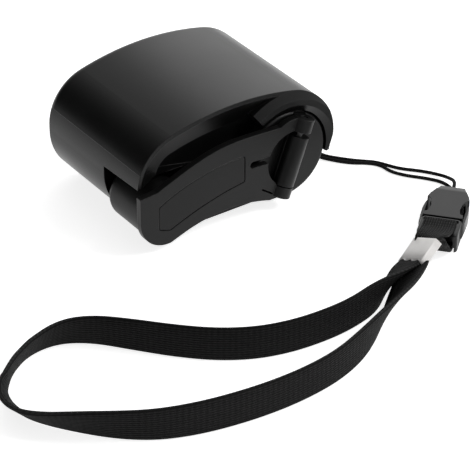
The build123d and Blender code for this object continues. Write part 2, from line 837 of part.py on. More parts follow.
with BuildPart() as gearbox_front_plate:
    with BuildSketch(facing(front_plate[0])):
        Circle(11.5)
        with Locations(first_centre):
            Circle(4)
        with Locations(second_centre):
            Circle(3.3)
        with Locations(*pillars):
            Circle(pillar_radius + 0.5)
        make_hull()
        with BuildLine():
            Polyline((-60, 7.6), (-30.6, 7.6), (-30.6, -30), (-60, -30), close=True)
        make_face(mode=Mode.SUBTRACT)
        Circle(crank_shaft_radius + running, mode=Mode.SUBTRACT)
        with Locations(first_centre, second_centre):
            Circle(axle_radius, mode=Mode.SUBTRACT)
        with Locations(*pillars):
            Circle(spigot_radius, mode=Mode.SUBTRACT)
    extrude(amount=-(front_plate[1] - front_plate[0]))
gearbox_front_plate.part.label = "gearbox_front_plate"
export_step(gearbox_front_plate.part, "parts/gearbox_front_plate.step")

with BuildPart() as gearbox_rear_plate:
    with BuildSketch(facing(rear_plate[0])):
        Circle(11.5)
        with Locations(rotor_centre):
            Circle(can_radius)
        with Locations(*pillars):
            Circle(pillar_radius + 0.5)
        with Locations((plate_foot[0], -sole_radius + wall + 1)):
            Rectangle(plate_foot[1], 1.4)
        make_hull()
        Circle(crank_shaft_radius + running, mode=Mode.SUBTRACT)
        with Locations(first_centre, second_centre):
            Circle(axle_radius, mode=Mode.SUBTRACT)
        with Locations(rotor_centre):
            Circle(can_nose_radius + 0.1, mode=Mode.SUBTRACT)
    extrude(amount=-(rear_plate[1] - rear_plate[0]))
    with BuildSketch(facing(front_plate[1])):
        with Locations(*pillars):
            Circle(pillar_radius)
    extrude(amount=-(rear_plate[0] - front_plate[1]))
    with BuildSketch(facing(front_plate[0])):
        with Locations(*pillars):
            Circle(spigot_radius)
    extrude(amount=-(front_plate[1] - front_plate[0]))
gearbox_rear_plate.part.label = "gearbox_rear_plate"
export_step(gearbox_rear_plate.part, "parts/gearbox_rear_plate.step")

with BuildPart() as first_axle:
    with BuildSketch(facing(front_plate[0])):
        with Locations(first_centre):
            Circle(axle_radius)
    extrude(amount=-(rear_plate[1] - front_plate[0]))
first_axle.part.label = "first_axle"
export_step(first_axle.part, "parts/first_axle.step")

with BuildPart() as second_axle:
    with BuildSketch(facing(front_plate[0])):
        with Locations(second_centre):
            Circle(axle_radius)
    extrude(amount=-(rear_plate[1] - front_plate[0]))
second_axle.part.label = "second_axle"
export_step(second_axle.part, "parts/second_axle.step")

with BuildPart() as first_gear:
    with BuildSketch(facing(front_plate[1] + gap)):
        with BuildLine():
            Polyline(*gear_outline(small_teeth, pinion_addendum, first_mesh, first_centre), close=True)
        make_face()
    extrude(amount=-(first_span[0] - front_plate[1] - gap))
    with BuildSketch(facing(first_span[0])):
        with BuildLine():
            Polyline(*gear_outline(first_teeth, wheel_addendum, second_heading, first_centre), close=True)
        make_face()
    extrude(amount=-(first_span[1] - first_span[0]))
    with BuildSketch(facing(first_span[1])):
        with Locations(first_centre):
            Circle(gear_boss)
    extrude(amount=-(rear_plate[0] - gap - first_span[1]))
    with BuildSketch(facing(front_plate[1])):
        with Locations(first_centre):
            Circle(axle_radius + running)
    extrude(amount=-(rear_plate[0] - front_plate[1]), mode=Mode.SUBTRACT)
first_gear.part.label = "first_gear"
export_step(first_gear.part, "parts/first_gear.step")

with BuildPart() as second_gear:
    with BuildSketch(facing(front_plate[1] + gap)):
        with Locations(second_centre):
            Circle(gear_boss)
    extrude(amount=-(first_span[0] - pinion_overhang - front_plate[1] - gap))
    with BuildSketch(facing(first_span[0] - pinion_overhang)):
        with BuildLine():
            Polyline(*gear_outline(small_teeth, pinion_addendum, second_mesh, second_centre), close=True)
        make_face()
    extrude(amount=-(second_span[0] - first_span[0] + pinion_overhang))
    with BuildSketch(facing(second_span[0])):
        with BuildLine():
            Polyline(*gear_outline(second_teeth, wheel_addendum, rotor_heading, second_centre), close=True)
        make_face()
    extrude(amount=-(second_span[1] - second_span[0]))
    with BuildSketch(facing(second_span[1])):
        with Locations(second_centre):
            Circle(gear_boss)
    extrude(amount=-(rear_plate[0] - gap - second_span[1]))
    with BuildSketch(facing(front_plate[1])):
        with Locations(second_centre):
            Circle(axle_radius + running)
    extrude(amount=-(rear_plate[0] - front_plate[1]), mode=Mode.SUBTRACT)
second_gear.part.label = "second_gear"
export_step(second_gear.part, "parts/second_gear.step")

# ---------------------------------------------------------------- generator
with BuildPart() as generator_pinion:
    with BuildSketch(facing(second_span[0] - pinion_overhang)):
        with BuildLine():
            Polyline(*gear_outline(rotor_teeth, pinion_addendum, rotor_mesh, rotor_centre), close=True)
        make_face()
        with Locations(rotor_centre):
            Circle(rotor_shaft_radius, mode=Mode.SUBTRACT)
    extrude(amount=-(wheel_width + 2 * pinion_overhang))
generator_pinion.part.label = "generator_pinion"
export_step(generator_pinion.part, "parts/generator_pinion.step")

with BuildPart() as generator_shaft:
    with BuildSketch(facing(second_span[0] - pinion_overhang)):
        with Locations(rotor_centre):
            Circle(rotor_shaft_radius)
    extrude(amount=-(can_back + 1.0 - second_span[0] + pinion_overhang))
generator_shaft.part.label = "generator_shaft"
export_step(generator_shaft.part, "parts/generator_shaft.step")

with BuildPart() as generator_rotor:
    with BuildSketch(facing(rear_plate[1] + 2.0)):
        with Locations(rotor_centre):
            Circle(rotor_radius)
            Circle(rotor_shaft_radius, mode=Mode.SUBTRACT)
        for turn in (90, 210, 330):
            with Locations(polar(4.4, turn + 60, rotor_centre)):
                Circle(1.3, mode=Mode.SUBTRACT)
    extrude(amount=-rotor_length)
generator_rotor.part.label = "generator_rotor"
export_step(generator_rotor.part, "parts/generator_rotor.step")

with BuildPart() as generator_can:
    with BuildSketch(facing(rear_plate[1])):
        with Locations(rotor_centre):
            Circle(can_radius)
    extrude(amount=-can_length)
    with BuildSketch(facing(rear_plate[1] + can_wall)):
        with Locations(rotor_centre):
            Circle(can_radius - can_wall)
    extrude(amount=-can_length, mode=Mode.SUBTRACT)
    with BuildSketch(facing(rear_plate[0] + 0.2)):
        with Locations(rotor_centre):
            Circle(can_nose_radius)
    extrude(amount=-(rear_plate[1] - rear_plate[0] + can_wall))
    with BuildSketch(facing(rear_plate[0])):
        with Locations(rotor_centre):
            Circle(rotor_shaft_radius + running)
    extrude(amount=-5, mode=Mode.SUBTRACT)
generator_can.part.label = "generator_can"
export_step(generator_can.part, "parts/generator_can.step")

with BuildPart() as generator_magnets:
    with BuildSketch(facing(rear_plate[1] + 2.0)):
        with Locations(rotor_centre):
            Circle(can_radius - can_wall)
            Circle(can_radius - can_wall - magnet_thickness, mode=Mode.SUBTRACT)
            Rectangle(30, 6, mode=Mode.SUBTRACT)
    extrude(amount=-rotor_length)
generator_magnets.part.label = "generator_magnets"
export_step(generator_magnets.part, "parts/generator_magnets.step")

with BuildPart() as generator_end_cap:
    with BuildSketch(facing(can_back)):
        with Locations(rotor_centre):
            Circle(can_radius)
            Circle(rotor_shaft_radius + running, mode=Mode.SUBTRACT)
    extrude(amount=-end_cap_depth)
    with BuildSketch(facing(can_back + end_cap_depth)):
        with Locations(rotor_centre):
            Circle(2.2)
    extrude(amount=-0.4)
generator_end_cap.part.label = "generator_end_cap"
export_step(generator_end_cap.part, "parts/generator_end_cap.step")

with BuildPart() as generator_terminals:
    with BuildSketch(facing(can_back + end_cap_depth)):
        with Locations(rotor_centre):
            with Locations((-terminal_offset, 0), (terminal_offset, 0)):
                Rectangle(0.5, 2.0)
    extrude(amount=-terminal_length)
generator_terminals.part.label = "generator_terminals"
export_step(generator_terminals.part, "parts/generator_terminals.step")

# ---------------------------------------------------------------- circuit board
with BuildPart() as circuit_board:
    with BuildSketch(rising(board_top - board_thickness)):
        with Locations((sum(board_u) / 2, sum(board_d) / 2)):
            Rectangle(board_u[1] - board_u[0], board_d[1] - board_d[0])
        with Locations(*board_posts):
            Circle(screw_radius + running, mode=Mode.SUBTRACT)
    extrude(amount=board_thickness)
circuit_board.part.label = "circuit_board"
export_step(circuit_board.part, "parts/circuit_board.step")

with BuildPart() as board_screws:
    for place in board_posts:
        with BuildSketch(rising(board_top)):
            with Locations(place):
                Circle(screw_radius)
        extrude(amount=-(board_thickness + 3.5))
        with BuildSketch(rising(board_top)):
            with Locations(place):
                Circle(screw_head)
        extrude(amount=screw_head_height)
        with BuildSketch(rising(board_top + screw_head_height)):
            with Locations(place):
                Rectangle(2.2, 0.5)
                Rectangle(0.5, 2.2)
        extrude(amount=-0.7, mode=Mode.SUBTRACT)
board_screws.part.label = "board_screws"
export_step(board_screws.part, "parts/board_screws.step")

with BuildPart() as usb_shell:
    with BuildSketch(facing(usb_front)):
        with Locations((usb_centre, usb_middle)):
            Rectangle(usb_width, usb_height)
    extrude(amount=-usb_length)
    with BuildSketch(facing(usb_front + usb_metal)):
        with Locations((usb_centre, usb_middle)):
            Rectangle(usb_width - 2 * usb_metal, usb_height - 2 * usb_metal)
    extrude(amount=-usb_length, mode=Mode.SUBTRACT)
usb_shell.part.label = "usb_shell"
export_step(usb_shell.part, "parts/usb_shell.step")

with BuildPart() as usb_tongue:
    with BuildSketch(facing(usb_front + usb_metal)):
        with Locations((usb_centre, usb_middle)):
            Rectangle(usb_width - 2 * usb_metal, usb_height - 2 * usb_metal)
    extrude(amount=-usb_block)
    with BuildSketch(facing(usb_front + usb_metal + usb_block)):
        with Locations((usb_centre, usb_middle + tongue_rise)):
            Rectangle(tongue_width, tongue_thickness)
    extrude(amount=-tongue_length)
usb_tongue.part.label = "usb_tongue"
export_step(usb_tongue.part, "parts/usb_tongue.step")

with BuildPart() as usb_contacts:
    with BuildSketch(facing(usb_front + usb_metal + usb_block)):
        with Locations((usb_centre, usb_middle + tongue_rise - tongue_thickness / 2 - 0.1)):
            with Locations((-3.5, 0), (-1.0, 0), (1.0, 0), (3.5, 0)):
                Rectangle(1.0, 0.2)
    extrude(amount=-(tongue_length - 1.2))
usb_contacts.part.label = "usb_contacts"
export_step(usb_contacts.part, "parts/usb_contacts.step")

with BuildPart() as lamp:
    with BuildSketch(facing(casing_depth - 3.4)):
        with Locations(lamp_centre):
            Circle(lamp_radius)
    extrude(amount=-3.4)
    fillet(faces().sort_by(Axis.Y)[-1].edges(), 0.7)
    with BuildSketch(facing(casing_depth - 4.4)):
        with Locations(lamp_centre):
            Rectangle(2.6, 3.6)
    extrude(amount=-1.0)
lamp.part.label = "lamp"
export_step(lamp.part, "parts/lamp.step")

with BuildPart() as capacitor:
    with BuildSketch(rising(board_top)):
        with Locations(capacitor_spot):
            Circle(capacitor_radius)
    extrude(amount=capacitor_height)
    fillet(faces().sort_by(Axis.Z)[-1].edges(), 0.4)
capacitor.part.label = "capacitor"
export_step(capacitor.part, "parts/capacitor.step")

with BuildPart() as inductor:
    with BuildSketch(rising(board_top)):
        with Locations(inductor_spot):
            RectangleRounded(6, 6, 1.2)
    extrude(amount=3.2)
inductor.part.label = "inductor"
export_step(inductor.part, "parts/inductor.step")

with BuildPart() as regulator_chip:
    with BuildSketch(rising(board_top + 0.15)):
        with Locations(chip_spot):
            Rectangle(4.9, 3.9)
    extrude(amount=1.5)
    with BuildSketch(rising(board_top)):
        with Locations(chip_spot):
            with GridLocations(1.27, 5.2, 4, 2):
                Rectangle(0.4, 1.3)
    extrude(amount=0.3)
regulator_chip.part.label = "regulator_chip"
export_step(regulator_chip.part, "parts/regulator_chip.step")

with BuildPart() as rectifier_diodes:
    with BuildSketch(rising(board_top)):
        with Locations(diode_spot):
            with GridLocations(0, 2.6, 1, 3):
                Rectangle(4.3, 2.4)
    extrude(amount=2.1)
rectifier_diodes.part.label = "rectifier_diodes"
export_step(rectifier_diodes.part, "parts/rectifier_diodes.step")

# Lead wires: from the generator terminals down to the board
for name, side, drop_u in (("red_lead", 1, -26.2), ("black_lead", -1, -27.6)):
    wire_u = hub_x + rotor_centre[0] + side * terminal_offset + 0.25 + lead_radius
    wire_y = front_y + lead_back
    turn_z = hub_z - 2.4 + side
    with BuildPart() as lead:
        with BuildLine():
            FilletPolyline(
                (wire_u, wire_y, hub_z + rotor_centre[1]),
                (wire_u, wire_y, turn_z),
                (hub_x + drop_u, wire_y, turn_z),
                (hub_x + drop_u, wire_y, hub_z + board_top),
                radius=0.7,
            )
        with BuildSketch(Plane(origin=(wire_u, wire_y, hub_z + rotor_centre[1]))):
            Circle(lead_radius)
        sweep()
    lead.part.label = name
    export_step(lead.part, "parts/" + name + ".step")

with BuildPart() as lanyard_post:
    with BuildSketch(rising(post_span[0])):
        with Locations(post_spot):
            Circle(post_radius)
    extrude(amount=post_span[1] - post_span[0])
lanyard_post.part.label = "lanyard_post"
export_step(lanyard_post.part, "parts/lanyard_post.step")

# ---------------------------------------------------------------- lanyard
with BuildPart() as lanyard_string:
    with BuildLine() as string_route:
        FilletPolyline(*[spot(point) for point in string_points], radius=bend_radii(string_points))
    with BuildSketch(Plane(origin=string_route.line @ 0, z_dir=string_route.line % 0)):
        Circle(string_diameter / 2)
    sweep()
lanyard_string.part.label = "lanyard_string"
export_step(lanyard_string.part, "parts/lanyard_string.step")
print("string bends, mm:", [round(radius, 1) for radius in bend_radii(string_points)])

with BuildPart() as buckle_socket:
    with BuildSketch(buckle_plane(0)):
        with BuildLine():
            FilletPolyline(
                (0, -buckle_width / 2 + 0.3),
                (9.0, -buckle_width / 2),
                (13.2, -buckle_neck / 2),
                (socket_length, -buckle_neck / 2),
                (socket_length, buckle_neck / 2),
                (13.2, buckle_neck / 2),
                (9.0, buckle_width / 2),
                (0, buckle_width / 2 - 0.3),
                radius=1.2,
            )
            Line((0, buckle_width / 2 - 0.3), (0, -buckle_width / 2 + 0.3))
        make_face()
    extrude(amount=buckle_thickness)
    fillet(faces().sort_by(Axis.Z)[-1].edges(), 0.8)
    with BuildSketch(buckle_plane(buckle_thickness / 2 - socket_height / 2)):
        with Locations((socket_room / 2, 0)):
            Rectangle(socket_room, 2 * socket_half)
    extrude(amount=socket_height, mode=Mode.SUBTRACT)
    with BuildSketch(buckle_plane(buckle_thickness / 2 - socket_height / 2)):
        with Locations((6.2, 0)):
            Rectangle(4.4, 20)
    extrude(amount=socket_height, mode=Mode.SUBTRACT)
    with BuildSketch(buckle_plane(-1)):
        with Locations((socket_length - eye_end - eye_length / 2, 0)):
            Rectangle(eye_length, buckle_neck - 2.6)
    extrude(amount=10, mode=Mode.SUBTRACT)
    for height in (-0.01, buckle_thickness / 2 + eye_bar / 2):
        with BuildSketch(buckle_plane(height)):
            with Locations((socket_length - 1.0, 0)):
                Rectangle(3.2, buckle_neck - 2.6)
        extrude(amount=buckle_thickness / 2 - eye_bar / 2 + 0.01, mode=Mode.SUBTRACT)
buckle_socket.part.label = "buckle_socket"
export_step(buckle_socket.part, "parts/buckle_socket.step")

with BuildPart() as buckle_plug:
    with BuildSketch(buckle_plane(0)):
        with Locations((-plug_length / 2 - gap, 0)):
            RectangleRounded(plug_length, buckle_width - 0.6, 1.4)
    extrude(amount=buckle_thickness)
    fillet(faces().sort_by(Axis.Z)[-1].edges(), 0.8)
    with BuildSketch(buckle_plane(buckle_thickness / 2 - socket_height / 2 + gap)):
        with Locations((prong_reach / 2 - 1.2, socket_half - gap - prong_width / 2)):
            RectangleRounded(prong_reach, prong_width, 0.8)
        with Locations((prong_reach / 2 - 1.2, -socket_half + gap + prong_width / 2)):
            RectangleRounded(prong_reach, prong_width, 0.8)
        with Locations((2.0, 0)):
            RectangleRounded(6.4, 1.6, 0.6)
    extrude(amount=socket_height - 2 * gap)
    with BuildSketch(buckle_plane(tab_height - strap_thickness / 2)):
        with Locations((-plug_length - gap, 0)):
            Rectangle(2 * tab_tuck, tab_width)
    extrude(amount=strap_thickness, mode=Mode.SUBTRACT)
buckle_plug.part.label = "buckle_plug"
export_step(buckle_plug.part, "parts/buckle_plug.step")

with BuildPart() as strap_tab:
    with BuildSketch(buckle_side):
        with BuildLine():
            FilletPolyline(
                (tab_tuck - plug_length - gap, tab_height),
                (-plug_length - gap - 1.6, tab_height),
                (-14.2, 7.8),
                (-16.6, 9.0),
                radius=2.2,
            )
        trace(line_width=strap_thickness)
    extrude(amount=tab_width / 2, both=True)
strap_tab.part.label = "strap_tab"
export_step(strap_tab.part, "parts/strap_tab.step")

with BuildPart() as crimp:
    with BuildSketch(crimp_plane):
        Rectangle(crimp_length, crimp_width)
        for step in range(5):
            with Locations((crimp_length / 2, (step - 2) * crimp_width / 5)):
                Circle(0.6, mode=Mode.SUBTRACT)
    extrude(amount=crimp_thickness / 2, both=True)
    with BuildSketch(crimp_plane):
        with Locations((crimp_length / 2, 0)):
            Rectangle(2 * crimp_mouth, crimp_width - 2.0)
    extrude(amount=crimp_thickness / 2 - 0.6, both=True, mode=Mode.SUBTRACT)
crimp.part.label = "crimp"
export_step(crimp.part, "parts/crimp.step")

with BuildPart() as wrist_strap:
    with BuildSketch(Plane(origin=spot((0, 0, 0)))):
        with BuildLine():
            FilletPolyline(*strap_points, radius=bend_radii(strap_points))
        trace(line_width=strap_thickness)
    extrude(amount=strap_width)
wrist_strap.part.label = "wrist_strap"
export_step(wrist_strap.part, "parts/wrist_strap.step")
print("strap bends, mm:", [round(radius, 1) for radius in bend_radii(strap_points)])
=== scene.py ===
import bmesh
import bpy
import json
from math import cos, exp, pi, radians, sin
from mathutils import Matrix, Vector


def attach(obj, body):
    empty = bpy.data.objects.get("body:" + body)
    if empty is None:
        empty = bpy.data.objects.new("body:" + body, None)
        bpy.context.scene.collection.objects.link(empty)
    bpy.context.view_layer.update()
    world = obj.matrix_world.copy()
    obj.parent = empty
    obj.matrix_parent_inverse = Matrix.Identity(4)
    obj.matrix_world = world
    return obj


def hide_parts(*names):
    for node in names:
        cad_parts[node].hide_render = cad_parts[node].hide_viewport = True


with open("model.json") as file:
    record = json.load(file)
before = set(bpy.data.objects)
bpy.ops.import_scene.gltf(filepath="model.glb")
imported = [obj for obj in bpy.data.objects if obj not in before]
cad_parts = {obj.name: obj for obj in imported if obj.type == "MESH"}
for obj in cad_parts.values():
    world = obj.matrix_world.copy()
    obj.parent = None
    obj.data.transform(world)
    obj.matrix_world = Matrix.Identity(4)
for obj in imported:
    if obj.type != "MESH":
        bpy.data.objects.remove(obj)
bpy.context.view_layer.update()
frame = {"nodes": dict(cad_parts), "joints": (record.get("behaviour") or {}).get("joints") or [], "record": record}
nodes = frame["nodes"]
joints = {joint["name"]: joint for joint in frame["joints"]}
hub = Vector(joints["crank_spin"]["pos_m"])  # crank axis in the plane of the casing front
mm = 0.001
print("frame loaded:", len(nodes), "nodes")

# Camera: three-quarter view from the upper left, with a long lens
view = {"azimuth": -35, "elevation": 33, "lens": 187.66, "fromHub": (-0.34604, -0.46925, 0.35202)}


def makeCamera():
    a = radians(view["azimuth"])
    e = radians(view["elevation"])
    right = Vector((cos(a), sin(a), 0))
    back = Vector((sin(a) * cos(e), -cos(a) * cos(e), sin(e)))
    up = back.cross(right)
    data = bpy.data.cameras.new("camera")
    data.lens = view["lens"]
    data.sensor_width = 36
    data.clip_end = 10
    camera = bpy.data.objects.new("camera", data)
    turn = Matrix((right, up, back)).transposed().to_4x4()
    camera.matrix_world = Matrix.Translation(hub + Vector(view["fromHub"])) @ turn
    bpy.context.scene.collection.objects.link(camera)
    bpy.context.scene.camera = camera


makeCamera()


def onFloor(point):
    # u and depth from the crank axis, height over the floor, all in mm
    return Vector((hub.x + point[0] * mm, hub.y + point[1] * mm, point[2] * mm))



def newObject(name, mesh, body, smooth=True):
    piece = bpy.data.objects.new(name, mesh)
    bpy.context.scene.collection.objects.link(piece)
    if smooth and hasattr(mesh, "polygons"):
        mesh.shade_smooth()
    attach(piece, body)
    return piece


def nurbs(name, points, order=3):
    curve = bpy.data.curves.new(name, "CURVE")
    curve.dimensions = "3D"
    spline = curve.splines.new("NURBS")
    spline.points.add(len(points) - 1)
    for knot, point in zip(spline.points, points):
        knot.co = (*point, 1)
    spline.order_u = order
    spline.use_endpoint_u = True
    spline.resolution_u = 10
    return curve


def routeOf(name, points):
    # points along the smooth line, as the curve itself gives them
    curve = nurbs(name, points)
    holder = bpy.data.objects.new(name, curve)
    bpy.context.scene.collection.objects.link(holder)
    bpy.context.view_layer.update()
    mesh = bpy.data.meshes.new_from_object(holder)
    route = [vertex.co.copy() for vertex in mesh.vertices]
    bpy.data.objects.remove(holder)
    bpy.data.curves.remove(curve)
    bpy.data.meshes.remove(mesh)
    return route


def lengthOf(route):
    return sum((b - a).length for a, b in zip(route, route[1:]))



def group(name, inputs, outputs):
    tree = bpy.data.node_groups.new(name, "ShaderNodeTree")
    for label, kind, value in inputs:
        socket = tree.interface.new_socket(label, in_out="INPUT", socket_type=kind)
        if value is not None:
            socket.default_value = value
    for label, kind in outputs:
        tree.interface.new_socket(label, in_out="OUTPUT", socket_type=kind)
    source = tree.nodes.new("NodeGroupInput")
    sink = tree.nodes.new("NodeGroupOutput")
    return tree, source, sink


def add(tree, kind, links=(), **values):
    node = tree.nodes.new(kind)
    for key, value in values.items():
        if hasattr(node, key):
            setattr(node, key, value)
        else:
            node.inputs[key.replace("_", " ")].default_value = value
    for target, origin in links:
        tree.links.new(origin, node.inputs[target])
    return node


def makeGrain():
    # moulded plastic: cloudy sheen, fine texture and faint handling marks
    tree, source, sink = group(
        "mouldedGrain",
        [
            ("Color", "NodeSocketColor", (0.02, 0.02, 0.02, 1)),
            ("Worn Color", "NodeSocketColor", (0.04, 0.04, 0.04, 1)),
            ("Grain Scale", "NodeSocketFloat", 2500),
            ("Roughness", "NodeSocketFloat", 0.4),
            ("Spread", "NodeSocketFloat", 0.1),
        ],
        [("Color", "NodeSocketColor"), ("Roughness", "NodeSocketFloat"), ("Height", "NodeSocketFloat")],
    )
    place = add(tree, "ShaderNodeTexCoord").outputs["Object"]
    fine = add(tree, "ShaderNodeTexNoise", [("Vector", place), ("Scale", source.outputs["Grain Scale"])], Detail=3)
    cloud = add(tree, "ShaderNodeTexNoise", [("Vector", place)], Scale=70, Detail=5)
    scuffs = add(tree, "ShaderNodeTexNoise", [("Vector", place)], Scale=420, Detail=6, Distortion=1.4)
    marks = add(tree, "ShaderNodeMapRange", [("Value", scuffs.outputs[0])], From_Min=0.6, From_Max=0.78)
    shade = add(tree, "ShaderNodeMix", data_type="RGBA")
    tree.links.new(marks.outputs[0], shade.inputs[0])
    tree.links.new(source.outputs["Color"], shade.inputs[6])
    tree.links.new(source.outputs["Worn Color"], shade.inputs[7])
    drift = add(tree, "ShaderNodeMath", [(0, cloud.outputs[0])], operation="SUBTRACT")
    drift.inputs[1].default_value = 0.5
    spread = add(tree, "ShaderNodeMath", [(0, drift.outputs[0]), (1, source.outputs["Spread"])], operation="MULTIPLY")
    rough = add(tree, "ShaderNodeMath", [(0, spread.outputs[0]), (1, source.outputs["Roughness"])], operation="ADD")
    tree.links.new(shade.outputs[2], sink.inputs["Color"])
    tree.links.new(rough.outputs[0], sink.inputs["Roughness"])
    tree.links.new(fine.outputs[0], sink.inputs["Height"])
    return tree


def makeWeave():
    # ribbed webbing: ribs across the length, warp threads along it; the map is in metres
    tree, source, sink = group(
        "ribbedWeave",
        [
            ("Color", "NodeSocketColor", (0.02, 0.02, 0.02, 1)),
            ("Thread Color", "NodeSocketColor", (0.06, 0.06, 0.06, 1)),
            ("Rib Pitch", "NodeSocketFloat", 0.0009),
            ("Warp Pitch", "NodeSocketFloat", 0.0006),
        ],
        [("Color", "NodeSocketColor"), ("Roughness", "NodeSocketFloat"), ("Height", "NodeSocketFloat")],
    )
    uv = add(tree, "ShaderNodeUVMap").outputs[0]
    parts = add(tree, "ShaderNodeSeparateXYZ", [(0, uv)])

    def ripple(axis, pitch):
        steps = add(tree, "ShaderNodeMath", [(0, parts.outputs[axis]), (1, pitch)], operation="DIVIDE")
        turns = add(tree, "ShaderNodeMath", [(0, steps.outputs[0])], operation="MULTIPLY")
        turns.inputs[1].default_value = 2 * pi
        wave = add(tree, "ShaderNodeMath", [(0, turns.outputs[0])], operation="SINE")
        return add(tree, "ShaderNodeMapRange", [("Value", wave.outputs[0])], From_Min=-1, From_Max=1)

    rib = ripple("Y", source.outputs["Rib Pitch"])
    warp = ripple("X", source.outputs["Warp Pitch"])
    fuzz = add(tree, "ShaderNodeTexNoise", [("Vector", uv)], Scale=2600, Detail=4)
    mixed = add(tree, "ShaderNodeMath", [(0, rib.outputs[0]), (1, warp.outputs[0])], operation="MULTIPLY_ADD")
    mixed.inputs[1].default_value = 1.0
    tree.links.new(warp.outputs[0], mixed.inputs[2])
    half = add(tree, "ShaderNodeMath", [(0, mixed.outputs[0])], operation="MULTIPLY")
    half.inputs[1].default_value = 0.4
    rough = add(tree, "ShaderNodeMath", [(0, fuzz.outputs[0]), (2, half.outputs[0])], operation="MULTIPLY_ADD")
    rough.inputs[1].default_value = 0.25
    shade = add(tree, "ShaderNodeMix", data_type="RGBA")
    tree.links.new(rough.outputs[0], shade.inputs[0])
    tree.links.new(source.outputs["Color"], shade.inputs[6])
    tree.links.new(source.outputs["Thread Color"], shade.inputs[7])
    dull = add(tree, "ShaderNodeMapRange", [("Value", fuzz.outputs[0])], To_Min=0.65, To_Max=0.95)
    tree.links.new(shade.outputs[2], sink.inputs["Color"])
    tree.links.new(dull.outputs[0], sink.inputs["Roughness"])
    tree.links.new(rough.outputs[0], sink.inputs["Height"])
    return tree


def makeBrushed():
    # drawn or plated metal: long scratches and a cloudy tarnish
    tree, source, sink = group(
        "brushedMetal",
        [
            ("Color", "NodeSocketColor", (0.6, 0.6, 0.6, 1)),
            ("Tarnish", "NodeSocketColor", (0.4, 0.38, 0.34, 1)),
            ("Roughness", "NodeSocketFloat", 0.25),
            ("Scratch Scale", "NodeSocketFloat", 900),
        ],
        [("Color", "NodeSocketColor"), ("Roughness", "NodeSocketFloat"), ("Height", "NodeSocketFloat")],
    )
    place = add(tree, "ShaderNodeTexCoord").outputs["Object"]
    stretched = add(tree, "ShaderNodeMapping", [("Vector", place)], Scale=(1, 0.06, 1))
    scratch = add(tree, "ShaderNodeTexNoise", [("Vector", stretched.outputs[0]), ("Scale", source.outputs["Scratch Scale"])], Detail=5)
    cloud = add(tree, "ShaderNodeTexNoise", [("Vector", place)], Scale=160, Detail=4)
    stain = add(tree, "ShaderNodeMapRange", [("Value", cloud.outputs[0])], From_Min=0.45, From_Max=0.75)
    shade = add(tree, "ShaderNodeMix", data_type="RGBA")
    tree.links.new(stain.outputs[0], shade.inputs[0])
    tree.links.new(source.outputs["Color"], shade.inputs[6])
    tree.links.new(source.outputs["Tarnish"], shade.inputs[7])
    lift = add(tree, "ShaderNodeMath", [(0, scratch.outputs[0]), (2, source.outputs["Roughness"])], operation="MULTIPLY_ADD")
    lift.inputs[1].default_value = 0.15
    tree.links.new(shade.outputs[2], sink.inputs["Color"])
    tree.links.new(lift.outputs[0], sink.inputs["Roughness"])
    tree.links.new(scratch.outputs[0], sink.inputs["Height"])
    return tree


def makeEdges():
    # rounded corners in the shading, and a mask of the corners that hands and pockets rub, which also lays a painted
    # highlight along the edges
    tree, source, sink = group(
        "roundedEdges",
        [("Radius", "NodeSocketFloat", 0.0003)],
        [("Normal", "NodeSocketVector"), ("Wear And Edge Highlight", "NodeSocketFloat")],
    )
    rounded = add(tree, "ShaderNodeBevel", [("Radius", source.outputs["Radius"])], samples=6)
    flat = add(tree, "ShaderNodeNewGeometry")
    turn = add(
        tree,
        "ShaderNodeVectorMath",
        [(0, rounded.outputs[0]), (1, flat.outputs["Normal"])],
        operation="DOT_PRODUCT",
    )
    corner = add(tree, "ShaderNodeMapRange", [("Value", turn.outputs["Value"])])
    corner.inputs["From Min"].default_value = 0.995
    corner.inputs["From Max"].default_value = 0.8
    place = add(tree, "ShaderNodeTexCoord").outputs["Object"]
    patchy = add(tree, "ShaderNodeTexNoise", [("Vector", place)], Scale=500, Detail=5)
    # corners in patches: partly rub wear, partly a painted highlight along the edges
    wornAndLit = add(tree, "ShaderNodeMath", [(0, corner.outputs[0]), (1, patchy.outputs[0])], operation="MULTIPLY")
    tree.links.new(rounded.outputs[0], sink.inputs["Normal"])
    tree.links.new(wornAndLit.outputs[0], sink.inputs["Wear And Edge Highlight"])
    return tree


mouldedGrain = makeGrain()
ribbedWeave = makeWeave()
brushedMetal = makeBrushed()
roundedEdges = makeEdges()


